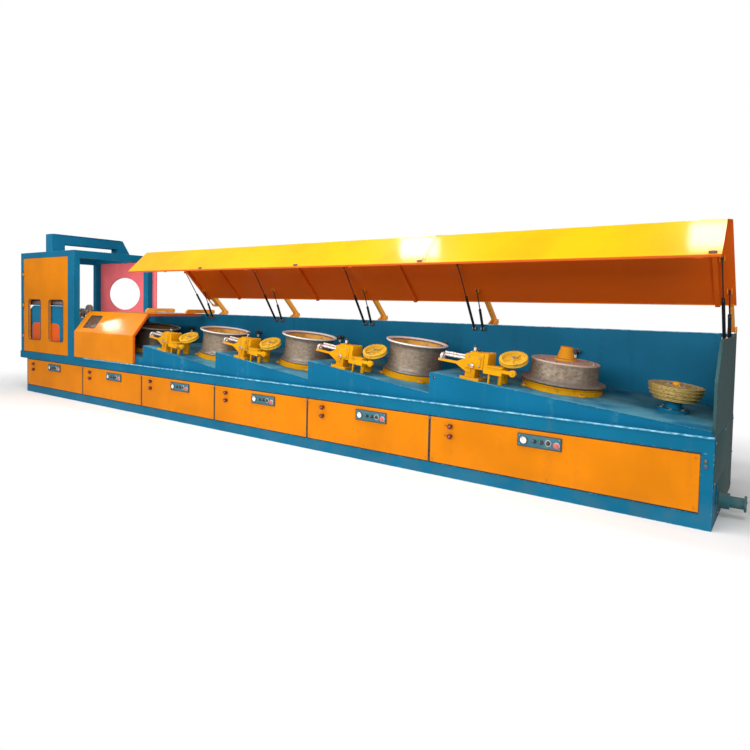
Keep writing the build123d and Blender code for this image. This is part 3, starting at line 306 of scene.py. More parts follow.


# Front panels: flat orange covers between the end posts, with dark joints from one to the next, and
# dark strips along their top and bottom, a painted shadow of the gaps under the rail and over the
# plinth. Button-headed screws hold them, with a small catch on every joint, and above them a pale
# bead runs along the rail's weld, partly worn paint and partly a painted highlight.
PITCH = joints["block_2_spin"]["pos_m"][0] - joints["block_1_spin"]["pos_m"][0]
UNITS = range(1, 6)
FIRST_PANEL = 1.72
LEFT_POST = 0.03
RIGHT_POST = 0.082
SCREW_IN = 0.035
SCREW_HEAD = [(0.008, 0), (0.008, 0.0015), (0.0065, 0.004), (0.003, 0.005), (0.003, 0.003), (0, 0.003)]
CATCH_HEIGHT = 0.52
CATCH_HEAD = [(0.013, 0), (0.013, 0.004), (0.010, 0.007), (0.004, 0.008), (0, 0.008)]
POST_CATCH_IN = 0.031
POST_CATCH_ROWS = (0.454, 0.49)
JOINT_WIDE = 0.025
GAP_HIGH = 0.007
RAIL_LEFT = -3.26
bed_low, bed_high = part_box("bed_frame")
panel_low, panel_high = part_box("front_panels")
rail_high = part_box("top_rail")[1].z
face_y = panel_low.y
first_left = bed_low.x + LEFT_POST
last_right = bed_high.x - RIGHT_POST
panel_lefts = [first_left] + [first_left + FIRST_PANEL + n * PITCH for n in range(5)]
panel_rights = panel_lefts[1:] + [last_right]
orange = enamel("orange_enamel", (0.64, 0.192, 0.002), (0.32, 0.12, 0.02),
                soil=0.22, chips=0.25, gloss=0.36, dust=0.3)
give(orange, "front_panels")


def metal(name, light, dark, rough=0.35, metallic=0.9, stretch=(1, 1, 1)):
    """Bare or plated metal, mottled from a light to a dark shade and duller where it is dark."""
    shade = Finish(name, Metallic=metallic)
    cloud = shade.noise(55, 5, stretch).between(0.3, 0.7)
    grain = shade.noise(300, 3, stretch)
    shade.bump(grain, 0.15, 0.0008)
    return shade.done(shade.mix(cloud, light, dark), cloud * 0.2 + grain * 0.1 + rough)


def choose(piece):
    """The piece alone is selected and active."""
    bpy.ops.object.select_all(action="DESELECT")
    piece.select_set(True)
    bpy.context.view_layer.objects.active = piece
    return piece


def turned(material, profile, sides=48, smooth=35):
    """A piece turned about the upright axis from a profile of (radius, height) points."""
    if profile[0] != profile[-1]:
        foot, top = [(0, profile[0][1])], [(0, profile[-1][1])]
        profile = foot * (profile[0][0] > 0) + profile + top * (profile[-1][0] > 0)
    bpy.ops.object.select_all(action="DESELECT")
    bpy.ops.mesh.primitive_plane_add(size=0.001)
    piece = bpy.context.object
    bpy.ops.object.mode_set(mode="EDIT")
    bpy.ops.mesh.merge(type="CENTER")
    bpy.ops.transform.translate(value=(profile[0][0], 0, profile[0][1]))
    for (radius, height), (next_radius, next_height) in zip(profile, profile[1:]):
        step = (next_radius - radius, 0, next_height - height)
        bpy.ops.mesh.extrude_vertices_move(TRANSFORM_OT_translate={"value": step})
    bpy.ops.mesh.select_all(action="SELECT")
    bpy.ops.mesh.spin(steps=sides, angle=2 * pi, center=(0, 0, 0), axis=(0, 0, 1))
    bpy.ops.mesh.select_all(action="SELECT")
    bpy.ops.mesh.remove_doubles(threshold=0.00002)
    bpy.ops.mesh.normals_make_consistent(inside=False)
    bpy.ops.object.mode_set(mode="OBJECT")
    bpy.ops.object.shade_smooth_by_angle(angle=radians(smooth))
    piece.data.materials.append(material)
    return piece


def moved(piece, place):
    """The piece turned and shifted by a matrix that its mesh takes in."""
    choose(piece)
    piece.matrix_world = place
    bpy.ops.object.transform_apply(location=True, rotation=True, scale=True)
    return piece


def joined(parts):
    """Parts made one mesh, each with the finish it has."""
    bpy.ops.object.select_all(action="DESELECT")
    for part in parts:
        part.select_set(True)
    bpy.context.view_layer.objects.active = parts[0]
    bpy.ops.object.join()
    return parts[0]


def repeated(pattern, places):
    """One mesh of a pattern's copies at several places. The pattern itself is used up."""
    copies = []
    for place in places:
        choose(pattern)
        bpy.ops.object.duplicate()
        copies.append(moved(bpy.context.object, place))
    bpy.data.objects.remove(pattern)
    return joined(copies)


def fitted(piece, name, body, slot, *stands_for):
    """A finished piece gets its name, the body it rides on, and the CAD nodes it stands for."""
    piece.name = name
    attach(piece, body)
    if stands_for:
        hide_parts(*stands_for)
    return piece


def on_front(x, z, y=face_y):
    """A place on an upright face: its own Z points to the front and its Y up."""
    return at(x, y, z) @ about("X", pi / 2)


def bar(material, low, high, round_off=0.002, segments=2):
    """A block between two corners with its edges eased."""
    bpy.ops.object.select_all(action="DESELECT")
    bpy.ops.mesh.primitive_cube_add(size=1)
    piece = bpy.context.object
    piece.location = [(a + b) / 2 for a, b in zip(low, high)]
    piece.scale = [b - a for a, b in zip(low, high)]
    bpy.ops.object.transform_apply(location=True, rotation=True, scale=True)
    bpy.ops.object.mode_set(mode="EDIT")
    bpy.ops.mesh.select_all(action="SELECT")
    bpy.ops.mesh.bevel(offset=round_off, segments=segments)
    bpy.ops.object.mode_set(mode="OBJECT")
    bpy.ops.object.shade_smooth_by_angle(angle=radians(40))
    piece.data.materials.append(material)
    return piece


def plastic(name, colour, rough=0.4, worn=0.75):
    """Moulded plastic or rubber, a little paler and duller where hands and dust have been."""
    shade = Finish(name)
    cloud = shade.noise(38, 5).between(0.35, 0.75)
    shade.bump(shade.noise(700, 2), 0.08, 0.0005)
    dusty = [min(1, c * worn + 0.05) for c in colour]
    return shade.done(shade.mix(cloud, colour, dusty), cloud * 0.2 + rough)


rubber = plastic("dark_rubber", (0.03, 0.035, 0.04), rough=0.6)
zinc = metal("zinc_plate", (0.55, 0.52, 0.47), (0.28, 0.25, 0.22), rough=0.4)
give(zinc, "strut_brackets")
joint_grey = metal("joint_grey", (0.028, 0.036, 0.034), (0.014, 0.012, 0.010), rough=0.7, metallic=0.0)
dull_steel = metal("dull_steel", (0.20, 0.20, 0.19), (0.08, 0.08, 0.08), rough=0.5, metallic=0.4)
# A pale blue for beads along the rail and wall edges: partly worn paint, partly painted highlight.
bead_blue_and_highlight = metal("worn_and_highlit_blue_edge", (0.28, 0.62, 0.80), (0.01, 0.20, 0.36),
                  rough=0.5, metallic=0.0, stretch=(0.4, 1, 1))
screw_places = []
for left, right in zip(panel_lefts, panel_rights):
    for height in (panel_low.z + SCREW_IN, panel_high.z - SCREW_IN):
        columns = (left + SCREW_IN, (left + right) / 2, right - SCREW_IN)
        screw_places += [on_front(x, height) for x in columns]
fitted(repeated(turned(orange, SCREW_HEAD, 12), screw_places), "panel_screws", "machine", "rod_steel")
catch_places = [on_front(left, CATCH_HEIGHT) for left in panel_lefts[1:]]
catch_places += [on_front(last_right + POST_CATCH_IN, z) for z in POST_CATCH_ROWS]
fitted(repeated(turned(dull_steel, CATCH_HEAD, 20), catch_places), "joint_catches", "machine", "rod_steel")
joint = bar(joint_grey, (-JOINT_WIDE / 2, face_y - 0.0006, panel_low.z),
            (JOINT_WIDE / 2, face_y + 0.006, panel_high.z), 0.0005, 1)
upright_joints = repeated(joint, [at(left) for left in panel_lefts[1:]])
# Painted shadow: dark strips in the gaps under the rail and over the plinth.
shadow_gap_strips = []
for z in (panel_low.z, panel_high.z - GAP_HIGH):
    shadow_gap_strips.append(bar(joint_grey, (first_left, face_y - 0.0009, z),
                    (last_right, face_y + 0.005, z + GAP_HIGH), 0.0005, 1))
fitted(joined([upright_joints, *shadow_gap_strips]), "panel_joints", "machine", "strut_black")
rail_bead = bar(bead_blue_and_highlight, (RAIL_LEFT, face_y - 0.003, rail_high - 0.009),
                (bed_high.x - 0.002, face_y + 0.006, rail_high + 0.004), 0.003)
fitted(rail_bead, "rail_bead", "machine", "blue_paint")


# Control stations: a painted plate in a dark rubber frame on each panel, with a moving-coil meter,
# three rotary switches, the last in a pale ring, and a red mushroom button in a collar.
STATION = (0.372, 0.108, 0.014)
STATION_HEIGHT = 0.449
STATION_FROM_LEFT = [0.70] + [0.65] * 4 + [0.85]
RUBBER_FRAME = 0.009
CORNER_SCREW_IN = 0.018
METER = (-0.132, 0.001)
METER_RADIUS = 0.036
METER_TICKS = [radians(60 - 15 * n) for n in range(9)]
NEEDLE_REST = radians(48)
SWITCHES = (-0.038, 0.020, 0.078)
SWITCH_TURN = radians(35)
STOP = (0.146, -0.008)
station_paint = enamel("station_enamel", (0.045, 0.15, 0.19), (0.2, 0.22, 0.2),
                       soil=0.5, chips=0.4, gloss=0.4)
black_plastic = plastic("black_switch", (0.02, 0.02, 0.025), rough=0.35)
pale_ring = plastic("pale_ring", (0.55, 0.55, 0.5), rough=0.4)
meter_dial = plastic("meter_dial", (0.80, 0.80, 0.75), rough=0.3, worn=0.95)
button_red = plastic("button_red", (0.62, 0.09, 0.09), rough=0.35)
needle_dark = plastic("needle_dark", (0.04, 0.02, 0.02), rough=0.5)


def raised(profile, base):
    """A profile lifted by a height."""
    return [(radius, base + height) for radius, height in profile]


def meter():
    """A round meter: a black bezel, a pale dial with a scale of ticks, and a needle at rest."""
    rim, top = METER_RADIUS, STATION[2]
    glass = rim - 0.006
    bezel = [(rim - 0.007, 0), (rim, 0), (rim, 0.008), (rim - 0.003, 0.011), (glass, 0.009), (rim - 0.007, 0)]
    dial = [(0, 0), (glass, 0), (glass, 0.0035), (0.004, 0.0035), (0.004, 0.006), (0, 0.006)]
    parts = [turned(rubber, raised(bezel, top)), turned(meter_dial, raised(dial, top))]
    for angle in METER_TICKS:
        tick = bar(needle_dark, (-0.0007, 0.020, top + 0.0035), (0.0007, 0.026, top + 0.0042), 0.0002, 1)
        parts.append(moved(tick, about("Z", angle)))
    needle = bar(needle_dark, (-0.0009, -0.004, top + 0.006), (0.0009, 0.023, top + 0.0068), 0.0003, 1)
    parts.append(moved(needle, about("Z", NEEDLE_REST)))
    return moved(joined(parts), at(*METER))


def rotary_switch(x, ringed):
    """A turning switch with a flat grip and a pale mark, some in a pale ring."""
    top = STATION[2] + 0.002
    body = [(0.019, 0), (0.019, 0.003), (0.016, 0.004), (0.0145, 0.014), (0, 0.015)]
    grip = bar(black_plastic, (-0.004, -0.015, top + 0.004), (0.004, 0.015, top + 0.018), 0.0015)
    mark = bar(meter_dial, (-0.0008, 0.004, top + 0.0175), (0.0008, 0.014, top + 0.0187), 0.0002, 1)
    parts = [turned(black_plastic, raised(body, top), 32), grip, mark]
    if ringed:
        ring = [(0.020, 0), (0.026, 0), (0.026, 0.003), (0.022, 0.005), (0.020, 0)]
        parts.append(turned(pale_ring, raised(ring, top), 32))
    return moved(joined(parts), at(x, 0.002) @ about("Z", SWITCH_TURN))


def stop_button():
    """A mushroom head on a stem in a pale collar."""
    collar = [(0.026, 0), (0.026, 0.005), (0.015, 0.007), (0.013, 0.012)]
    head = [(0.013, 0.010), (0.021, 0.011), (0.023, 0.014), (0.021, 0.018), (0.014, 0.021), (0, 0.022)]
    button = joined([turned(pale_ring, collar, 32), turned(button_red, head, 32)])
    return moved(button, at(*STOP, STATION[2]))


wide, tall, deep = STATION
frame_plate = bar(rubber, (-wide / 2, -tall / 2, -0.002), (wide / 2, tall / 2, deep - 0.002), 0.004, 3)
face_corner = (wide / 2 - RUBBER_FRAME, tall / 2 - RUBBER_FRAME)
face_plate = bar(station_paint, (-face_corner[0], -face_corner[1], 0.002), (*face_corner, deep), 0.0015)
station_parts = [frame_plate, face_plate, meter(), stop_button()]
station_parts += [rotary_switch(x, x == SWITCHES[2]) for x in SWITCHES]
corner_screw = turned(zinc, raised([(0.005, 0), (0.005, 0.001), (0.003, 0.003), (0, 0.003)], deep), 12)
screw_x, screw_y = wide / 2 - CORNER_SCREW_IN, tall / 2 - CORNER_SCREW_IN
corners = [at(a * screw_x, b * screw_y) for a in (-1, 1) for b in (-1, 1)]
station_parts.append(repeated(corner_screw, corners))
station_places = [on_front(left + along + wide / 2, STATION_HEIGHT)
                  for left, along in zip(panel_lefts, STATION_FROM_LEFT)]
stations = repeated(joined(station_parts), station_places)
fitted(stations, "stations_dressed", "machine", "control_face", "control_stations")


# Valve knobs: two lobed handwheels of dark red plastic at the left of each panel, for the cooling
# water of each block. A plated cap closes each, and a flat brown bar beside it is a painted shadow of
# the knob on the panel.
VALVE_FROM_LEFT = 0.22
VALVE_ROWS = (0.47, 0.38)
VALVE_RADIUS = 0.024
LOBES = 7
PINCH = 0.84
valve_red = metal("valve_red", (0.20, 0.012, 0.006), (0.08, 0.006, 0.003), rough=0.4, metallic=0.0)
valve_shadow_brown = metal("valve_shadow_brown", (0.32, 0.10, 0.01), (0.16, 0.05, 0.01), rough=0.6, metallic=0.0)
pink_metal = metal("coppery_cap", (0.72, 0.48, 0.42), (0.4, 0.24, 0.2), rough=0.3)
valve_profile = [(0.011, 0.016), (0.020, 0.017), (VALVE_RADIUS, 0.021), (VALVE_RADIUS, 0.031), (0.021, 0.035),
                 (0.011, 0.036), (0.010, 0.034), (0, 0.034)]
valve_wheel = turned(valve_red, valve_profile, LOBES * 8, 60)
bpy.ops.object.mode_set(mode="EDIT")
bpy.ops.mesh.select_all(action="DESELECT")
bpy.ops.object.mode_set(mode="OBJECT")
for vertex in valve_wheel.data.vertices:
    on_rim = hypot(vertex.co.x, vertex.co.y) > 0.018
    vertex.select = on_rim and cos(LOBES * atan2(vertex.co.y, vertex.co.x)) < -0.3
bpy.ops.object.mode_set(mode="EDIT")
bpy.ops.transform.resize(value=(PINCH, PINCH, 1), center_override=(0, 0, 0))
bpy.ops.object.mode_set(mode="OBJECT")
valve_stem = turned(valve_red, [(0.017, 0), (0.017, 0.004), (0.011, 0.006), (0.011, 0.018)], 24)
valve_cap = turned(pink_metal, [(0.006, 0.033), (0.0055, 0.037), (0.003, 0.0385), (0, 0.039)], 24)
# Painted shadow: a flat brown bar at the knob's left stands in for its shadow on the panel.
valve_shadow_bar = bar(valve_shadow_brown, (-0.066, -0.004, 0), (-0.014, 0.004, 0.008), 0.002)
valve = joined([valve_wheel, valve_stem, valve_cap, valve_shadow_bar])
valve_places = [on_front(left + VALVE_FROM_LEFT, row) for left in panel_lefts for row in VALVE_ROWS]
fitted(repeated(valve, valve_places), "valves_dressed", "machine", "knob_red", "valve_knobs")


# Decks, rear wall and end plate: blue plate housings that step down along the line. The end plate is
# scuffed to a grey green. Each deck has an eye bolt's plugged hole high on its front at the left, and
# a small black water tap stands on the wall behind it.
END_COVERS = (((-0.655, 0.30), (0.655, 0.652)), ((-0.36, 0.02), (0.655, 0.302)))
END_COVER_THICK = 0.004
END_SCREWS = ((-0.63, 0.33), (-0.63, 0.62), (0, 0.62), (0.63, 0.62),
              (0.63, 0.33), (0.63, 0.05), (-0.33, 0.05))
DECK_HIGH = 0.93
DECK_LOWS = [0.734] * 4 + [0.694]
DECK_SHIFT = 0.04
DECK_GAP = 0.0003
PLUG_PLACE = (0.055, 0.045)
PLUG_PROFILE = [(0.016, 0), (0.016, 0.002), (0.012, 0.004), (0.010, 0.002), (0.009, -0.004), (0, -0.004)]
WALL_FACE = 0.61
WALL_TOP = 1.355
WALL_BEAD_RUN = (-3.2, 4.99)
TAP_PLACE = (0.96, 1.12)
# The decks' light blue dust on level faces is partly dust and partly painted light on their tops.
deck_blue = enamel("deck_enamel", (0.003, 0.127, 0.245), (0.14, 0.37, 0.44),
                   soil=0.18, chips=1.0, dust=0.64, bare=WORN_AND_LIT_BLUE, edge=0.012)
wall_blue = enamel("wall_enamel", (0.008, 0.145, 0.265), (0.012, 0.065, 0.105),
                   soil=0.4, chips=0.8, gloss=0.36, bare=WORN_AND_LIT_BLUE)
plate_grey = enamel("end_plate_enamel", (0.035, 0.085, 0.088), (0.17, 0.19, 0.15),
                    soil=0.8, chips=0.8, gloss=0.45, bare=(0.3, 0.42, 0.42))
give(deck_blue, "decks")
give(wall_blue, "rear_wall")
give(plate_grey, "end_plate")

end_face = bed_high.x
cover_face = end_face + END_COVER_THICK
end_parts = [bar(plate_grey, (end_face - 0.001, *low), (cover_face, *high), 0.0015)
             for low, high in END_COVERS]
end_screw = turned(zinc, [(0.009, 0), (0.009, 0.002), (0.005, 0.005), (0, 0.005)], 12)
end_parts.append(repeated(end_screw, [at(cover_face, y, z) @ about("Y", pi / 2) for y, z in END_SCREWS]))
fitted(joined(end_parts), "end_cover", "machine", "blue_paint")

deck_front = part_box("decks")[0].y
deck_lefts = [panel_lefts[1] - DECK_SHIFT + n * PITCH for n in range(5)]
deck_rights = [left - DECK_GAP for left in deck_lefts[1:]] + [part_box("decks")[1].x]
plug = joined([
    turned(rubber, PLUG_PROFILE, 24),
    turned(zinc, [(0.006, -0.004), (0.006, 0.001), (0, 0.001)], 6, 20),
])
plug_places = [on_front(left + PLUG_PLACE[0], DECK_HIGH - PLUG_PLACE[1], deck_front) for left in deck_lefts]
fitted(repeated(plug, plug_places), "deck_plugs", "machine", "strut_black")
beads = []
for left, right, low in zip(deck_lefts, deck_rights, DECK_LOWS):
    run, fall = right - left, DECK_HIGH - low
    bead = bar(deck_blue, (0.004, -0.002, -0.007), (hypot(run, fall) - 0.004, 0.006, 0.002), 0.002)
    beads.append(moved(bead, at(left, deck_front, DECK_HIGH) @ about("Y", atan2(fall, run))))
fitted(joined(beads), "deck_beads", "machine", "blue_paint")

# Painted highlight: a pale bead along the wall's top edge, partly worn paint.
wall_bead = bar(bead_blue_and_highlight, (WALL_BEAD_RUN[0], WALL_FACE - 0.003, WALL_TOP - 0.006),
                (WALL_BEAD_RUN[1], WALL_FACE + 0.006, WALL_TOP + 0.002), 0.002)
fitted(wall_bead, "wall_bead", "machine", "blue_paint")
tap_body = [(0.034, 0), (0.034, 0.006), (0.022, 0.008), (0.022, 0.05), (0.028, 0.054),
            (0.028, 0.07), (0, 0.072)]
tap_mouth = [(0.008, -0.03), (0.016, -0.03), (0.016, 0.012), (0.008, 0.014), (0.008, -0.03)]
tap = joined([
    turned(black_plastic, tap_body, 24),
    bar(black_plastic, (-0.055, -0.010, 0.030), (0.050, 0.016, 0.046), 0.004, 3),
    moved(turned(meter_dial, tap_mouth, 24), at(0, -0.048, 0.04) @ about("X", pi / 2)),
])
tap_places = [on_front(left + TAP_PLACE[0], TAP_PLACE[1], WALL_FACE) for left in deck_lefts]
fitted(repeated(tap, tap_places), "water_taps", "machine", "strut_black")


# Base rings: stepped yellow castings under the drawing blocks. Four lugs stand out from each, with
# a hexagon bolt and a washer in every lug.
BLOCK_SEAT = 0.0613
RING_RADII = [0.322] * 4 + [0.346]
LUG_ANGLES = [radians(45 + 90 * n) for n in range(4)]
BOLT_HIGH = 0.42
BOLT_EDGE = 0.36
WASHER = 0.62
yellow = enamel("casting_enamel", (0.70, 0.32, 0.004), (0.20, 0.10, 0.02),
                soil=0.75, chips=0.8, gloss=0.36, dust=0.35)
give(yellow, "base_rings", "die_boxes", "tuner_posts")


def block_place(number, lift=0.0):
    """A place on a block's axis, its own Z along the axis and its X down the deck."""
    joint = joints[f"block_{number}_spin"]
    axis = Vector(joint["axis"])
    return Matrix.Translation(Vector(joint["pos_m"]) + axis * lift) @ about("Y", atan2(axis.x, axis.z))


def hex_bolt(size):
    """A hexagon head of a size across its corners, on a washer."""
    crown = size * BOLT_HIGH
    head = turned(zinc, [(size / 2, 0.002), (size / 2, size * BOLT_EDGE), (crown, crown), (0, crown)], 6, 20)
    disc = turned(zinc, [(size * WASHER, 0), (size * WASHER, 0.002), (0, 0.002)], 16)
    return joined([head, disc])


lug_places = [block_place(number, -BLOCK_SEAT) @ about("Z", angle) @ at(radius)
              for number, radius in enumerate(RING_RADII, 1) for angle in LUG_ANGLES]
lug = bar(yellow, (-0.02, -0.028, 0.0), (0.036, 0.028, 0.018), 0.006, 3)
lug_bolt = moved(hex_bolt(0.024), at(0.014, 0, 0.018))
fitted(repeated(joined([lug, lug_bolt]), lug_places), "ring_lugs", "machine", "casting_yellow")


# Drawing blocks: hollow steel drums, turned all over, that the wire has worn bright at the rim and
# scored brown and grey round the barrel. The rim's near-white band is partly that wear and partly a
# painted highlight, and the first drum is darkened all over by a painted shadow. Inside, the web,
# its ribs and the hub are painted yellow.
BLOCK_HEIGHT = 0.31
RIM_RADIUS = 0.326
BORE_RADIUS = 0.266
WEB_TOP = 0.182
WEB_RIBS = 6
WEB_BOLTS_RADIUS = 0.19
HUB_RADIUS = 0.074
HUB_TOP = 0.226
HUB_BOLTS = (6, 0.05)
DRUM_1_PAINTED_SHADE = 0.62
DRUM_PROFILE = [
    (0, 0), (0.304, 0), (0.308, 0.004), (0.308, 0.013), (0.304, 0.019), (0.293, 0.024), (0.287, 0.034),
    (0.283, 0.06), (0.2805, 0.09), (0.2795, 0.13), (0.2785, 0.18), (0.277, 0.235), (0.278, 0.248),
    (0.282, 0.258), (0.290, 0.269), (0.302, 0.281), (0.316, 0.291), (0.323, 0.296), (RIM_RADIUS, 0.301),
    (RIM_RADIUS, 0.306), (0.323, 0.3095), (0.317, BLOCK_HEIGHT), (0.306, BLOCK_HEIGHT), (0.301, 0.308),
    (0.290, 0.296), (0.277, 0.281), (0.269, 0.270), (BORE_RADIUS, 0.258), (BORE_RADIUS, 0.192),
    (0.262, 0.184), (0.255, WEB_TOP), (0.088, WEB_TOP), (0.081, 0.184), (0.078, 0.192),
    (HUB_RADIUS, 0.218), (0.069, HUB_TOP), (0, HUB_TOP),
]


def drum_finish(number, high, hollow=True):
    """Worn steel outside, polished and painted with a white highlight at an open drum's rim, and chipped
    yellow enamel in its bore.
    """
    joint = joints[f"block_{number}_spin"]
    tilt = atan2(joint["axis"][0], joint["axis"][2])
    shade = Finish(f"drum_steel_{number}")
    seat = {"Vector": shade.place(), "Location": joint["pos_m"], "Rotation": (0, tilt, 0)}
    own = shade.node("ShaderNodeMapping", {"vector_type": "TEXTURE"}, seat)
    x, y, height = shade.axes(own)
    radius = (x * x + y * y) ** 0.5
    score = shade.noise(26, 6, (1, 1, 1.6), 0.65, own).between(0.3, 0.7)
    smear = shade.noise(9, 5, (1, 1, 0.3), 0.6, own).between(0.32, 0.68)
    steel = shade.mix(score, (0.50, 0.41, 0.315), (0.215, 0.168, 0.12))
    steel = shade.mix(smear * 0.6, steel, (0.27, 0.18, 0.12))
    low = 1 - height.between(0.03, 0.085)
    steel = shade.mix(low * 0.6, steel, (0.16, 0.15, 0.14))
    # The rim band: on an open drum it is near white and not metallic, partly wear and partly a painted
    # highlight; on the last drum it is the tan of the cover.
    bright = height.between(high - 0.020, high - 0.011)
    if hollow:
        bright = bright * shade.noise(14, 4, where=own).between(0.1, 0.35)
    steel = shade.mix(bright, steel, (0.97, 0.96, 0.92) if hollow else (0.62, 0.45, 0.34))
    flare = (height - 0.266).most(0) * 0.45
    bore = (radius - flare < BORE_RADIUS + 0.004) * (height > (0.1 if hollow else 1.0))
    flakes = shade.noise(12, 7, rough=0.65, where=own).between(0.50, 0.62)
    enamel_in = shade.mix(flakes * 0.7, (0.80, 0.44, 0.05), (0.40, 0.23, 0.08))
    colour = shade.mix(bore, steel, enamel_in)
    # Painted shade: the first drum is darkened, standing in for the short hood's shadow over it.
    if number == 1:
        colour = shade.mix(DRUM_1_PAINTED_SHADE, colour, (0.05, 0.04, 0.03))
    shade.bump(score * 0.6 + shade.noise(260, 3, where=own) * 0.4, 0.2, 0.0008)
    rough = score * 0.16 + (1 - bright) * 0.14 + bore * 0.15 + (0.2 if hollow else 0.5)
    return shade.done(colour, rough, (1 - bore) * (1 - bright) * 0.45)


def round_steps(count, start=0.0):
    """Turns that share a circle out evenly."""
    return [about("Z", start + 2 * pi * n / count) for n in range(count)]


def spaced(count, radius, height, start=0.0):
    """Places evenly round the axis at a radius and a height."""
    return [step @ at(radius, 0, height) for step in round_steps(count, start)]


for number in UNITS[:4]:
    drum_steel = drum_finish(number, BLOCK_HEIGHT)
    shell = turned(drum_steel, DRUM_PROFILE, 128, 40)
    rib = bar(drum_steel, (0.07, -0.007, WEB_TOP - 0.004), (BORE_RADIUS, 0.007, WEB_TOP + 0.03), 0.003)
    ribs = repeated(rib, round_steps(WEB_RIBS))
    web_bolts = repeated(hex_bolt(0.026), spaced(WEB_RIBS, WEB_BOLTS_RADIUS, WEB_TOP, pi / WEB_RIBS))
    hub_bolts = repeated(hex_bolt(0.020), spaced(*HUB_BOLTS, HUB_TOP))
    drum = moved(joined([shell, ribs, web_bolts, hub_bolts]), block_place(number))
    fitted(drum, f"drum_{number}", f"block_{number}", "drum_steel", f"drawing_block_{number}")


# Last drawing block: a lower drum closed by a cover, with a wide foot flange. The cover is bolted on
# round its edge, and an orange stepped cone, bolted down in turn, closes the hub.
LAST_HEIGHT = 0.198
LAST_COVER = 0.1955
LAST_PROFILE = [
    (0, 0), (0.336, 0), (0.362, 0.006), (0.369, 0.011), (0.369, 0.019), (0.363, 0.025), (0.33, 0.0295),
    (0.311, 0.033), (0.302, 0.041), (0.296, 0.054), (0.294, 0.07), (0.2925, 0.12), (0.2905, 0.176),
    (0.292, 0.183), (0.296, 0.188), (0.296, 0.194), (0.293, LAST_HEIGHT), (0.278, LAST_HEIGHT),
    (0.276, LAST_COVER), (0.14, LAST_COVER), (0.125, LAST_HEIGHT), (0, LAST_HEIGHT),
]
CONE_FOOT = 0.0165
CONE_PROFILE = [
    (0, 0), (0.100, 0), (0.102, 0.002), (0.102, 0.014), (0.099, CONE_FOOT), (0.080, 0.018), (0.076, 0.024),
    (0.060, 0.086), (0.056, 0.092), (0.056, 0.116), (0.051, 0.123), (0.030, 0.127), (0, 0.128),
]
last_steel = drum_finish(5, LAST_HEIGHT, hollow=False)
last_shell = turned(last_steel, LAST_PROFILE, 128, 40)
cover_bolts = repeated(hex_bolt(0.024), spaced(12, 0.252, LAST_COVER))
last_drum = moved(joined([last_shell, cover_bolts]), block_place(5))
fitted(last_drum, "drum_5", "block_5", "drum_steel", "drawing_block_5")
hub_orange = enamel("hub_enamel", (0.86, 0.36, 0.02), (0.28, 0.11, 0.04), soil=0.3, gloss=0.35)
cone = moved(turned(hub_orange, CONE_PROFILE, 64, 30), block_place(5, LAST_HEIGHT))
fitted(cone, "hub_cone", "block_5", "hub_orange", "hub_cap")
cap_bolts = moved(repeated(hex_bolt(0.014), spaced(8, 0.089, CONE_FOOT)), block_place(5, LAST_HEIGHT))
fitted(cap_bolts, "cap_bolts", "block_5", "rod_steel")


# Die boxes: yellow castings on a pillar, each with a bolted cover, a clamped die holder at the end of
# its arm, two bare guide rods, a drip oiler on top and a plated pin through its front wall.
DIE_COVER = ((0.352, 0.120), (0.478, 0.222))
DIE_FRONT = 0.59
DIE_FACE = DIE_FRONT + 0.008
COVER_BOLT_IN = 0.012
FOOT_BOLTS = ((0.306, 0.470), 0.022, (0.452, 0.598))
ROD_LINES = ((0.175, 0.52), (0.190, 0.465))
ROD_RADIUS = 0.0135
ROD_RUN = (0.055, 0.300)
HOLDER_PLACE = (0.062, 0.160, 0.548)
OILER_PLACE = (0.345, 0.236, 0.452)
GRIP_PLACE = (0.414, 0.252, 0.51)


def unit_place(number):
    """A place at a deck's left edge: its own X down the deck, Y square to it, Z to the front."""
    seat = block_place(number, -BLOCK_SEAT)
    down = seat.to_3x3() @ Vector((1, 0, 0))
    back = (seat.translation.x - deck_lefts[number - 1]) / down.x
    start = seat.translation - down * back
    return at(start.x, 0, start.z) @ seat.to_3x3().to_4x4() @ about("X", pi / 2)


def lying(piece, along, height, out):
    """A turned piece laid down along a deck, with its foot at a place of the deck's own."""
    return moved(piece, at(along, height, out) @ about("Y", pi / 2))


def upright(piece, along, height, out):
    """A turned piece stood square on a deck."""
    return moved(piece, at(along, height, out) @ about("X", -pi / 2))


white_metal = metal("bright_rod_ends", (0.85, 0.80, 0.76), (0.55, 0.42, 0.38), rough=0.3, metallic=0.6)
glass_cup = plastic("oiler_cup", (0.80, 0.82, 0.76), rough=0.15, worn=0.9)
(cover_left, cover_low), (cover_right, cover_high) = DIE_COVER
pin_head = [(0.020, 0), (0.020, 0.006), (0.014, 0.009), (0.006, 0.010), (0, 0.010)]
arm_pin = [(0.030, 0), (0.030, 0.004), (0.020, 0.006), (0.012, 0.006), (0.012, 0.014), (0, 0.014)]
die_parts = [
    bar(yellow, (cover_left, cover_low, DIE_FRONT - 0.002), (cover_right, cover_high, DIE_FACE), 0.003),
    bar(yellow, (0.496, 0.112, DIE_FRONT - 0.002), (0.504, 0.248, DIE_FRONT + 0.010), 0.003),
    bar(yellow, (0.350, 0.234, 0.455), (0.478, 0.252, 0.565), 0.006, 3),
    bar(yellow, (0.548, 0.146, 0.515), (0.690, 0.160, 0.612), 0.004),
    moved(turned(pink_metal, pin_head, 24), at(0.402, 0.130, DIE_FACE)),
    moved(turned(yellow, arm_pin, 24), at(0.785, 0.128, 0.603)),
]
bolt_columns = (cover_left + COVER_BOLT_IN, cover_right - COVER_BOLT_IN)
bolt_rows = (cover_low + COVER_BOLT_IN, cover_high - COVER_BOLT_IN)
die_parts.append(repeated(hex_bolt(0.014), [at(a, b, DIE_FACE) for a in bolt_columns for b in bolt_rows]))
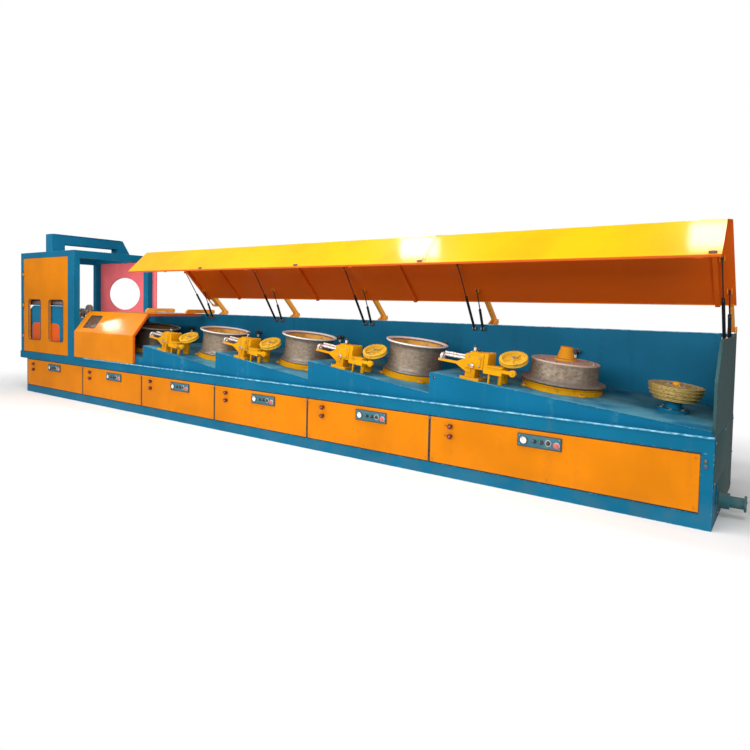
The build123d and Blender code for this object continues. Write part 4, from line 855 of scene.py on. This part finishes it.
foot_columns, foot_height, foot_rows = FOOT_BOLTS
foot_places = [at(a, foot_height, b) @ about("X", -pi / 2) for a in foot_columns for b in foot_rows]
die_parts.append(repeated(hex_bolt(0.018), foot_places))
for height, out in ROD_LINES:
    reach = ROD_RUN[1] - ROD_RUN[0]
    sleeve = [(0, 0), (ROD_RADIUS, 0), (ROD_RADIUS, reach), (0, reach)]
    collar = [(0.019, 0), (0.019, 0.016), (ROD_RADIUS, 0.018)]
    die_parts.append(lying(turned(white_metal, sleeve, 24), ROD_RUN[0], height, out))
    die_parts.append(lying(turned(yellow, collar, 6, 20), ROD_RUN[1] - 0.002, height, out))
holder = [(0.012, 0), (0.034, 0), (0.036, 0.003), (0.036, 0.019), (0.033, 0.023), (0.012, 0.023), (0.012, 0)]
die_parts.append(lying(turned(white_metal, holder, 32), *HOLDER_PLACE))
oiler_glass = [(0.006, 0), (0.006, 0.012), (0.012, 0.014), (0.013, 0.042), (0.010, 0.044), (0, 0.044)]
oiler_cap = [(0.010, 0.044), (0.012, 0.046), (0.015, 0.05), (0.015, 0.062), (0.008, 0.066), (0, 0.066)]
lid_grip = [(0.006, 0), (0.006, 0.012), (0.013, 0.016), (0.014, 0.022), (0.009, 0.028), (0, 0.028)]
die_parts.append(upright(turned(glass_cup, oiler_glass, 20), *OILER_PLACE))
die_parts.append(upright(turned(rubber, oiler_cap, 20), *OILER_PLACE))
die_parts.append(upright(turned(black_plastic, lid_grip, 20), *GRIP_PLACE))
die_details = repeated(joined(die_parts), [unit_place(number) for number in UNITS])
fitted(die_details, "die_box_fittings", "machine", "casting_yellow")


# Tuner arms: each is a boss and a bar cut from plate, and carries a wide dish, tipped to the front,
# with a groove round it for the wire and ribs across its floor. A nut holds the dish on its stub.
DISH_PLACE = (0.095, -0.060, 0.0994)
DISH_TIP = radians(25)
DISH_RIBS = 5
ARM_WIDTH = 0.036
ARM_THICK = 0.030
DISH_PROFILE = [
    (0, -0.040), (0.118, -0.040), (0.124, -0.038), (0.125, -0.034), (0.112, -0.026), (0.108, -0.020),
    (0.112, -0.014), (0.125, -0.006), (0.124, -0.002), (0.119, 0), (0.100, 0), (0.096, -0.003),
    (0.094, -0.010), (0.093, -0.022), (0.087, -0.028), (0.034, -0.028), (0.026, -0.024), (0.024, -0.014),
    (0.022, -0.004), (0, -0.004),
]
dish_paint = enamel("dish_enamel", (0.74, 0.43, 0.03), (0.34, 0.22, 0.08),
                    soil=0.8, chips=0.9, gloss=0.42, dust=0.45, bare=(0.5, 0.42, 0.3))


def tuner_arm():
    """The arm as it is at its post: the post's axis is its own Z."""
    across = atan2(DISH_PLACE[1], DISH_PLACE[0])
    reach = hypot(DISH_PLACE[0], DISH_PLACE[1])
    boss = [(0.0125, 0), (0.038, 0), (0.040, 0.002), (0.040, 0.040), (0.036, 0.044), (0.0125, 0.044),
            (0.0125, 0)]
    stub = [(0, 0.004), (0.024, 0.004), (0.024, 0.026), (0.018, 0.034), (0.018, 0.066), (0, 0.066)]
    nut = [(0.017, 0), (0.017, 0.010), (0.014, 0.012), (0, 0.012)]
    arm = bar(yellow, (0.02, -ARM_WIDTH / 2, 0.001), (reach, ARM_WIDTH / 2, ARM_THICK), 0.004, 3)
    moved(arm, about("Z", across))
    pin_nut = moved(turned(zinc, nut, 6, 20), at(0, 0, 0.046))
    dish = [turned(dish_paint, DISH_PROFILE, 96, 40)]
    rib = bar(dish_paint, (0.020, -0.004, -0.030), (0.096, 0.004, -0.012), 0.002)
    dish.append(repeated(rib, round_steps(DISH_RIBS)))
    dish.append(moved(hex_bolt(0.026), at(0, 0, -0.004)))
    tipped = at(*DISH_PLACE) @ about("X", DISH_TIP)
    shoulder = moved(turned(yellow, stub, 32), at(DISH_PLACE[0], DISH_PLACE[1]))
    return joined([turned(yellow, boss, 48), arm, shoulder, pin_nut, moved(joined(dish), tipped)])


def joint_place(name):
    """A place at a joint, its own Z along the joint's axis."""
    joint = joints[name]
    return at(*joint["pos_m"]) @ about("Y", atan2(joint["axis"][0], joint["axis"][2]))


for number in UNITS:
    arm = moved(tuner_arm(), joint_place(f"tuner_{number}_swing"))
    fitted(arm, f"tuner_{number}_dressed", f"tuner_{number}", "casting_yellow", f"tuner_arm_{number}")


# Inlet guide wheel: four hard rings, worn to a dull gold by the wire, clamped in a stack between a
# foot and a cover that six bolts hold down.
WHEEL_RADIUS = 0.21
RING = 0.03
WHEEL_HEIGHT = 4 * RING
WHEEL_RINGS = (0.168, 0.192, 0.204, WHEEL_RADIUS)
FOOT_BOLT_HEIGHT = 0.024 - 0.0963
wheel_profile = [(0, 0)]
for n, wide in enumerate(WHEEL_RINGS):
    low = n * RING
    lip, groove = wide - 0.005, wide - 0.0145
    wheel_profile += [
        (wide - 0.004, low), (wide, low + 0.003), (wide, low + 0.006), (lip, low + 0.008),
        (groove, low + 0.012), (groove, low + 0.018), (lip, low + 0.022), (wide, low + 0.024),
        (wide, low + 0.027), (wide - 0.004, low + 0.0295),
    ]
wheel_profile += [(0.198, WHEEL_HEIGHT), (0.194, 0.112), (0, 0.112)]
wheel_cover = [(0, 0.1), (0.193, 0.1), (0.193, 0.116), (0.188, 0.119), (0.182, 0.117), (0.10, 0.1135),
               (0.086, 0.1135), (0.080, 0.118), (0.050, 0.121), (0, 0.121)]
wheel_nut = [(0, 0.12), (0.030, 0.12), (0.030, 0.140), (0.022, 0.146), (0, 0.146)]
gold = metal("worn_gold", (0.80, 0.60, 0.20), (0.32, 0.22, 0.07), rough=0.34, metallic=0.3, stretch=(1, 1, 4))
give(blue, "wheel_post")
wheel_parts = [turned(gold, wheel_cover, 96, 30), turned(hub_orange, wheel_nut, 24, 20)]
wheel_parts.append(repeated(hex_bolt(0.018), spaced(6, 0.062, 0.119)))
wheel = joined([turned(gold, wheel_profile, 128, 30)] + wheel_parts)
wheel_place = joint_place("guide_wheel_spin")
fitted(moved(wheel, wheel_place), "wheel_dressed", "wheel", "wheel_gold", "guide_wheel")
foot_bolts = repeated(hex_bolt(0.022), spaced(6, 0.092, FOOT_BOLT_HEIGHT, pi / 6))
fitted(moved(foot_bolts, wheel_place), "wheel_foot_bolts", "machine", "rod_steel")


# Guard hoods: sheet steel folded twice and sprayed glossy orange. A redder orange on the faces turned
# down or sideways is painted shade.
# A riveted strap covers the joint of the long hood's sheets, and toggle catches sit on its lower edge.
HOOD_OPEN = radians(45.4)
HOOD_FRONT = -0.67
HOOD_LOW = 0.666
FOLD_LOW = 1.056
FOLD_HIGH = 1.355
FOLD_BACK = -0.438
HOOD_REAR = 0.463
HOOD_COAT = 0.25
HOOD_PAINTED_SHADE = (0.80, 0.13, 0.008)
STRAP_X = 2.6425
STRAP_WIDE = 0.06
STRAP_THICK = 0.002
SEAM = 0.009
RIVET_IN = 0.009
CATCHES = (-0.4785, 1.0895, 2.62, 4.96)
hinge_pin = Vector(joints["long_hood_swing"]["pos_m"])
lifted = at(*hinge_pin) @ about("X", -HOOD_OPEN) @ at(*-hinge_pin)
fold_tilt = atan2(FOLD_HIGH - FOLD_LOW, FOLD_BACK - HOOD_FRONT)
fold_length = hypot(FOLD_HIGH - FOLD_LOW, FOLD_BACK - HOOD_FRONT)
# Painted light: the long hood's orange is lighter and yellower than the short hood's same paint.
lit_hood_orange = enamel("hood_enamel", (0.86, 0.33, 0.0), (0.40, 0.16, 0.01),
                     soil=0.12, chips=0.15, gloss=0.3, dust=0.12, inside=HOOD_PAINTED_SHADE, coat=HOOD_COAT)
short_orange = enamel("short_hood_enamel", (0.70, 0.215, 0.001), (0.40, 0.16, 0.02),
                      soil=0.12, chips=0.15, gloss=0.3, dust=0.12, inside=HOOD_PAINTED_SHADE, coat=HOOD_COAT)
catch_brown = plastic("catch_brown", (0.11, 0.05, 0.02), rough=0.5)
give(lit_hood_orange, "open_hood")
give(short_orange, "closed_hood")


def on_fold(x, run, lift=0.0):
    """A place on the hoods' slanted fold, its own Y up the slope and its Z outward."""
    return at(x, HOOD_FRONT, FOLD_LOW) @ about("X", fold_tilt) @ at(0, run, lift)


strap_left, strap_right = STRAP_X - STRAP_WIDE / 2, STRAP_X + STRAP_WIDE / 2
strap_face = HOOD_FRONT - STRAP_THICK
strap_front = bar(lit_hood_orange, (strap_left, strap_face, HOOD_LOW + 0.004),
                  (strap_right, HOOD_FRONT + 0.001, FOLD_LOW), 0.0008, 1)
strap_fold = bar(lit_hood_orange, (-STRAP_WIDE / 2, 0, -0.001),
                 (STRAP_WIDE / 2, fold_length, STRAP_THICK), 0.0008, 1)
moved(strap_fold, on_fold(STRAP_X, 0))
strap_top = bar(lit_hood_orange, (strap_left, FOLD_BACK, FOLD_HIGH - 0.001),
                (strap_right, HOOD_REAR, FOLD_HIGH + STRAP_THICK), 0.0008, 1)
rivet = turned(lit_hood_orange, [(0.005, 0), (0.0045, 0.0015), (0.0025, 0.0028), (0, 0.003)], 12)
rivet_places = []
for x in (strap_left + RIVET_IN, strap_right - RIVET_IN):
    rivet_places += [on_front(x, HOOD_LOW + 0.04 + 0.06 * n, strap_face) for n in range(6)]
    rivet_places += [on_fold(x, 0.04 + 0.06 * n, STRAP_THICK) for n in range(6)]
    rivet_places += [at(x, FOLD_BACK + 0.05 + 0.08 * n, FOLD_HIGH + STRAP_THICK) for n in range(11)]
seam = bar(catch_brown, (STRAP_X - SEAM / 2, strap_face - 0.0008, HOOD_LOW + 0.006),
           (STRAP_X + SEAM / 2, HOOD_FRONT, FOLD_LOW - 0.004), 0.0004, 1)
strap = joined([strap_front, strap_fold, strap_top, seam, repeated(rivet, rivet_places)])
fitted(moved(strap, lifted), "hood_strap", "long_hood", "hood_paint")
catch_pin = turned(catch_brown, [(0.006, 0), (0.006, 0.052), (0, 0.052)], 16)
toggle = joined([
    bar(catch_brown, (-0.026, 0.006, 0), (0.026, 0.028, 0.003), 0.001),
    bar(catch_brown, (-0.014, 0.006, 0.004), (0.014, 0.032, 0.009), 0.002),
    moved(catch_pin, at(-0.026, 0.020, 0.008) @ about("Y", pi / 2)),
])
toggles = repeated(toggle, [on_front(x, HOOD_LOW, HOOD_FRONT) for x in CATCHES])
fitted(moved(toggles, lifted), "hood_catches", "long_hood", "rod_steel")


# Hinge arms: cranked plate arms, each with a foot that four bolts hold on the hood's top. The first
# has a gusset beside it with an oval hole cut through.
ARM_PLACES = (-1.8195, -0.3195, 1.1805, 2.6805)
FOOT_THICK = 0.006
GUSSET = ((-1.965, 0.430, 1.3585), (-1.838, 0.655, 1.3645))
GUSSET_HOLE = (-1.905, 0.56)
HOLE_SHAPE = (1.1, 1.9, 1, 1)
# Painted light: the arms' orange is lighter than the hoods' same paint, standing in for light on them.
lit_arm_orange = enamel("arm_enamel", (0.94, 0.38, 0.05), (0.40, 0.16, 0.03),
                    soil=0.3, chips=0.4, gloss=0.35, dust=0.3)
give(lit_arm_orange, "open_hood_arms", "closed_hood_arms", "head_brackets", "hinge_brackets")
foot_plate = bar(lit_arm_orange, (-0.045, -0.155, 0), (0.045, -0.012, FOOT_THICK), 0.0015)
foot_spots = [at(x, y, FOOT_THICK) for x in (-0.032, 0.032) for y in (-0.135, -0.032)]
foot = joined([foot_plate, repeated(hex_bolt(0.014), foot_spots)])
arm_feet = repeated(foot, [lifted @ at(x, HOOD_REAR, FOLD_HIGH) for x in ARM_PLACES])
fitted(arm_feet, "arm_feet", "long_hood", "hood_paint")
gusset = bar(lit_arm_orange, *GUSSET, 0.0015)
hole = turned(lit_arm_orange, [(0.03, 1.33), (0.03, 1.39)], 40)
moved(hole, at(*GUSSET_HOLE) @ Matrix.Diagonal(HOLE_SHAPE))
cut = gusset.modifiers.new("hole", "BOOLEAN")
cut.operation = "DIFFERENCE"
cut.solver = "EXACT"
cut.object = hole
choose(gusset)
bpy.ops.object.modifier_apply(modifier="hole")
bpy.data.objects.remove(hole)
fitted(moved(gusset, lifted), "arm_gusset", "long_hood", "hood_paint")


# Hood window: a dark pane in the short hood's slanted fold, held by a rubber gasket with rounded
# corners and eight plated screws.
WINDOW_FROM_LEFT = 0.32
GASKET = (0.162, 0.117, 0.018, 0.016, 0.004)
GASKET_COLUMNS = (-0.154, 0, 0.154)
GASKET_ROWS = (-0.109, 0, 0.109)
pane_dark = plastic("dark_pane", (0.12, 0.055, 0.02), rough=0.12, worn=0.8)
give(pane_dark, "hood_window")


def rounded(half_wide, half_tall, corner, segments, lowest=None):
    """A flat sheet in edit mode, its corners rounded, but for those whose own Y is below the lowest."""
    bpy.ops.object.select_all(action="DESELECT")
    bpy.ops.mesh.primitive_plane_add(size=2)
    piece = bpy.context.object
    piece.scale = (half_wide, half_tall, 1)
    bpy.ops.object.transform_apply(location=True, rotation=True, scale=True)
    for vertex in piece.data.vertices:
        vertex.select = lowest is None or vertex.co.y > lowest
    bpy.ops.object.mode_set(mode="EDIT")
    bpy.ops.mesh.bevel(offset=corner, segments=segments, affect="VERTICES")
    bpy.ops.mesh.select_all(action="SELECT")
    return piece


def rim(material, half_wide, half_tall, corner, wide, thick):
    """A flat ring round an opening with rounded corners, lying on its own X and Y."""
    piece = rounded(half_wide, half_tall, corner, 10)
    bpy.ops.mesh.inset(thickness=wide)
    bpy.ops.mesh.delete(type="FACE")
    bpy.ops.object.mode_set(mode="OBJECT")
    wall = piece.modifiers.new("wall", "SOLIDIFY")
    wall.thickness = thick
    wall.offset = 1
    bpy.ops.object.modifier_apply(modifier="wall")
    piece.data.materials.append(material)
    return piece


window_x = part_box("closed_hood")[0].x + WINDOW_FROM_LEFT
gasket_screw = turned(zinc, [(0.006, 0), (0.006, 0.002), (0.004, 0.004), (0, 0.004)], 12)
spots = [(x, y) for x in GASKET_COLUMNS for y in GASKET_ROWS if (x, y) != (0, 0)]
gasket_screws = repeated(gasket_screw, [at(*spot, GASKET[4]) for spot in spots])
window_frame = moved(joined([rim(rubber, *GASKET), gasket_screws]), on_fold(window_x, fold_length / 2))
fitted(window_frame, "hood_window_frame", "short_hood", "strut_black")


# Gas struts: black tubes with a crimped steel neck at their mouth, and thin rods that grease has
# darkened. A short and a long one stand side by side at each hinge arm.
STRUTS = (
    ("short", (-1.8445, -0.3845, 1.1445, 2.6465, 4.9715), 0.2277),
    ("long", (-1.9415, -0.5015, 1.0425, 2.5445, 4.9315), 0.4073),
)
strut_black = enamel("strut_black", (0.018, 0.018, 0.02), (0.12, 0.10, 0.08),
                     soil=0.3, chips=0.3, gloss=0.3, dust=0.2)
rod_steel = metal("greased_rod", (0.05, 0.03, 0.02), (0.02, 0.014, 0.012), rough=0.5, metallic=0.1)
give(strut_black, "short_strut_cylinders", "long_strut_cylinders")
give(rod_steel, "short_strut_rods", "long_strut_rods")
for kind, places, mouth in STRUTS:
    slide = joints[f"{kind}_rod_slide"]
    lean = atan2(-slide["axis"][1], slide["axis"][2])
    neck = [(0.0075, mouth - 0.022), (0.0146, mouth - 0.022), (0.0146, mouth - 0.004), (0.012, mouth + 0.001),
            (0.0075, mouth + 0.001), (0.0075, mouth - 0.022)]
    seats = [at(x, *slide["pos_m"][1:]) @ about("X", lean) for x in places]
    necks = repeated(turned(rod_steel, neck, 32), seats)
    fitted(necks, f"{kind}_strut_necks", f"{kind}_cylinders", "rod_steel")


# Take-up cabinet: blue box-section posts and beams, an orange door on three hinges with two windows
# in rubber, and a blue duct bolted along the roof, under a lid of its own.
DOOR_FACE = -0.67
WINDOWS = ((-4.9625, -4.5565), (-4.2935, -3.8495))
WINDOW_HEIGHTS = (0.868, 1.523)
SEAL_LAP = 0.005
LID_LAP = 0.006
LID_REAR = 0.49
LID_RISE = 0.003
LID_SCREW_IN = 0.02
give(blue, "cabinet_frame")
give(wall_blue, "roof_duct", "take_up_housing")
give(orange, "cabinet_door")
window_middle = sum(WINDOW_HEIGHTS) / 2
half_tall = (WINDOW_HEIGHTS[1] - WINDOW_HEIGHTS[0]) / 2 + SEAL_LAP
seals = []
for low, high in WINDOWS:
    seal = rim(rubber, (high - low) / 2 + SEAL_LAP, half_tall, 0.055, 0.012, 0.004)
    seals.append(moved(seal, on_front((low + high) / 2, window_middle, DOOR_FACE)))
fitted(joined(seals), "window_seals", "door", "strut_black")
duct_low, duct_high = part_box("roof_duct")
lid_top = duct_high.z + LID_RISE
duct_lid = bar(wall_blue, (duct_low.x - LID_LAP, duct_low.y + 0.03, duct_high.z - 0.012),
               (duct_high.x + LID_LAP, LID_REAR, lid_top), 0.003)
lid_columns = (duct_low.x + LID_SCREW_IN, duct_high.x - LID_SCREW_IN)
lid_spots = [at(x, -0.55 + 0.2 * n, lid_top) for x in lid_columns for n in range(6)]
lid_screws = repeated(hex_bolt(0.012), lid_spots)
fitted(joined([duct_lid, lid_screws]), "duct_lid", "machine", "blue_paint")


# Take-up drive: a red flanged motor with cooling fins, bolted to an arched gear case. Both are seen
# through the door's windows.
MOTOR_PLACE = (-4.2475, 0.89, -0.55)
MOTOR_RADIUS = 0.19
MOTOR_COVER = [
    (0.188, -0.004), (0.188, 0.010), (0.176, 0.018), (0.135, 0.020), (0.128, 0.014), (0.060, 0.014),
    (0.052, 0.024), (0.030, 0.028), (0, 0.028),
]
FIN_ANGLES = [radians(-20 + 11 * n) for n in range(21)]
CASE_BOLTS_RADIUS = 0.7184
CASE_CENTRE = (-4.4275, 0.4716)
CASE_FACE = -0.25
motor_red = enamel("motor_enamel", (0.62, 0.10, 0.02), (0.2, 0.08, 0.05), soil=0.5, gloss=0.4, dust=0.6)
give(motor_red, "take_up_motor")
motor_parts = [turned(motor_red, MOTOR_COVER, 64), repeated(hex_bolt(0.02), spaced(8, 0.156, 0.0195))]
fin = bar(motor_red, (MOTOR_RADIUS - 0.006, -0.003, -0.285), (MOTOR_RADIUS + 0.014, 0.003, -0.02), 0.001, 1)
motor_parts.append(repeated(fin, [about("Z", angle) for angle in FIN_ANGLES]))
fitted(moved(joined(motor_parts), on_front(*MOTOR_PLACE)), "motor_cover", "machine", "motor_red")
case_places = []
for angle in range(-42, 43, 12):
    x = CASE_CENTRE[0] + CASE_BOLTS_RADIUS * sin(radians(angle))
    case_places.append(on_front(x, CASE_CENTRE[1] + CASE_BOLTS_RADIUS * cos(radians(angle)), CASE_FACE))
fitted(repeated(hex_bolt(0.028), case_places), "gear_case_bolts", "machine", "rod_steel")


# Belt guard: a blue arched plate close behind the door, with a shallow red cover pressed from sheet
# and bolted on it. A bright wire rail runs behind the tops of the door's windows.
ARCH = (0.65, 0.38, 0.22)
ARCH_PLACE = (-4.42, 1.045)
ARCH_FACE = -0.612
ARCH_THICK = 0.008
COVER = (0.44, 0.225, 0.09)
COVER_PLACE = (-4.49, 0.92)
COVER_THICK = 0.006
WIRE_RAIL = (-5.13, -3.73)


def plate(material, half_wide, half_tall, corner, lowest, thick):
    """A pressed sheet with a raised middle and its upper corners rounded, or all of them."""
    piece = rounded(half_wide, half_tall, corner, 12, lowest)
    bpy.ops.mesh.extrude_region_move(TRANSFORM_OT_translate={"value": (0, 0, thick)})
    bpy.ops.mesh.inset(thickness=0.012)
    bpy.ops.transform.translate(value=(0, 0, thick / 2))
    bpy.ops.mesh.select_all(action="SELECT")
    bpy.ops.mesh.normals_make_consistent(inside=False)
    bpy.ops.object.mode_set(mode="OBJECT")
    bpy.ops.object.shade_smooth_by_angle(angle=radians(35))
    piece.data.materials.append(material)
    return piece


arch = moved(plate(wall_blue, *ARCH, 0, ARCH_THICK), on_front(*ARCH_PLACE, ARCH_FACE))
cover_spots = [at(x, z, COVER_THICK) for x in (-0.41, -0.14, 0.14, 0.41) for z in (-0.19, 0.19)]
cover = joined([plate(motor_red, *COVER, -1, COVER_THICK), repeated(hex_bolt(0.012), cover_spots)])
moved(cover, on_front(*COVER_PLACE, ARCH_FACE - ARCH_THICK))
fitted(joined([arch, cover]), "belt_guard", "machine", "motor_red")
rail_left, rail_right = WIRE_RAIL
rail_strip = bar(pink_metal, (rail_left, -0.607, 1.452), (rail_right, -0.599, 1.498), 0.002)
rail_back = bar(rod_steel, (rail_left, -0.606, 1.496), (rail_right, -0.600, 1.532), 0.002)
fitted(joined([rail_strip, rail_back]), "wire_rail_strip", "machine", "rod_steel")


# Wire guides: two grooved pulleys of oily cast iron, each on a pin between a pair of cheeks, that
# stand on one foot plate on the take-up housing.
GUIDE_SEATS = ((-4.53, 1.315, 0.075), (-4.31, 1.35, 0.105))
GUIDE_RUN = (-4.64, -4.18)
GUIDE_FOOT = 1.219
CHEEK_HALF = (0.018, 0.005)
CHEEK_OUT = 0.036
oily_brown = metal("oily_brown", (0.20, 0.15, 0.12), (0.06, 0.045, 0.04), rough=0.5, metallic=0.4)
guide_parts = [bar(oily_brown, (GUIDE_RUN[0], -0.07, GUIDE_FOOT),
                   (GUIDE_RUN[1], 0.07, GUIDE_FOOT + 0.012), 0.003)]
for x, z, radius in GUIDE_SEATS:
    groove = [(0, -0.02), (radius, -0.02), (radius, -0.014), (radius - 0.014, -0.004),
              (radius - 0.014, 0.004), (radius, 0.014), (radius, 0.02), (radius - 0.03, 0.02),
              (radius - 0.035, 0.010), (0, 0.010)]
    guide_parts.append(moved(turned(oily_brown, groove, 48), on_front(x, z, 0)))
    for y in (-CHEEK_OUT, CHEEK_OUT):
        guide_parts.append(bar(oily_brown, (x - CHEEK_HALF[0], y - CHEEK_HALF[1], GUIDE_FOOT + 0.01),
                               (x + CHEEK_HALF[0], y + CHEEK_HALF[1], z + 0.02), 0.003))
    pin = turned(zinc, [(0, 0), (0.011, 0), (0.011, 0.092), (0, 0.092)], 20)
    guide_parts.append(moved(pin, on_front(x, z, 0.046)))
fitted(joined(guide_parts), "wire_guides", "machine", "rod_steel")


# Inner plate: a blue bulkhead that closes the first unit off from the cabinet under the short hood.
# The wire passes through a plated bush in it, and four bolts hold it.
INNER_PLACE = (-3.235, -0.02, 1.10)
INNER = (0.42, 0.175, 0.08)
BUSH_PLACE = (-0.28, -0.02, 0.005)
BUSH_PROFILE = [(0.010, 0), (0.028, 0), (0.028, 0.014), (0.022, 0.020), (0.010, 0.020), (0.010, 0)]
inner_bush = turned(zinc, BUSH_PROFILE, 32)
inner_spots = [at(x, y, 0.006) for x in (-0.39, 0.39) for y in (-0.15, 0.06)]
inner_plate = joined([plate(wall_blue, *INNER, 0, 0.004), repeated(hex_bolt(0.012), inner_spots),
                      moved(inner_bush, at(*BUSH_PLACE))])
moved(inner_plate, at(*INNER_PLACE) @ about("Z", pi / 2) @ about("X", pi / 2))
fitted(inner_plate, "inner_plate", "machine", "blue_paint")


# Rear guard: a red sheet fixed across the cabinet's rear posts, with an oval port cut through it and
# a rolled rim round the port.
PORT = (-4.3775, 1.655)
PORT_HALF = (0.493, 0.287)
PORT_FACE = 0.68
PORT_PROFILE = [(0.985, -0.012), (1.02, -0.012), (1.03, -0.004), (1.03, 0.004), (1.02, 0.012), (0.985, 0.012),
                (0.98, 0.004), (0.98, -0.004), (0.985, -0.012)]
guard_red = enamel("guard_enamel", (0.88, 0.165, 0.18), (0.6, 0.22, 0.22), soil=0.15, chips=0.2, gloss=0.4)
give(guard_red, "rear_guard")
port_rim = turned(guard_red, PORT_PROFILE, 96)
moved(port_rim, on_front(*PORT, PORT_FACE) @ Matrix.Diagonal((*PORT_HALF, 1, 1)))
fitted(port_rim, "port_rim", "machine", "guard_red")


# Water pipe: a stub of steel tube at the inlet end, with a flange that four bolts hold. Its green
# enamel is mostly rubbed off.
PIPE_PLACE = (-0.24, 0.12)
FLANGE_THICK = 0.014
pipe_green = enamel("pipe_enamel", (0.03, 0.12, 0.14), (0.16, 0.19, 0.18),
                    soil=0.8, chips=0.8, gloss=0.4, bare=(0.4, 0.5, 0.5))
give(pipe_green, "pipe_stub")
pipe_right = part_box("pipe_stub")[1].x
flange = turned(pipe_green, [(0.036, 0), (0.058, 0), (0.060, 0.002), (0.060, 0.012), (0.058, FLANGE_THICK),
                             (0.036, FLANGE_THICK), (0.036, 0)], 40)
pipe_end = joined([flange, repeated(hex_bolt(0.012), spaced(4, 0.051, FLANGE_THICK))])
moved(pipe_end, at(pipe_right - 0.0145, *PIPE_PLACE) @ about("Y", pi / 2))
fitted(pipe_end, "pipe_flange", "machine", "pipe_green")
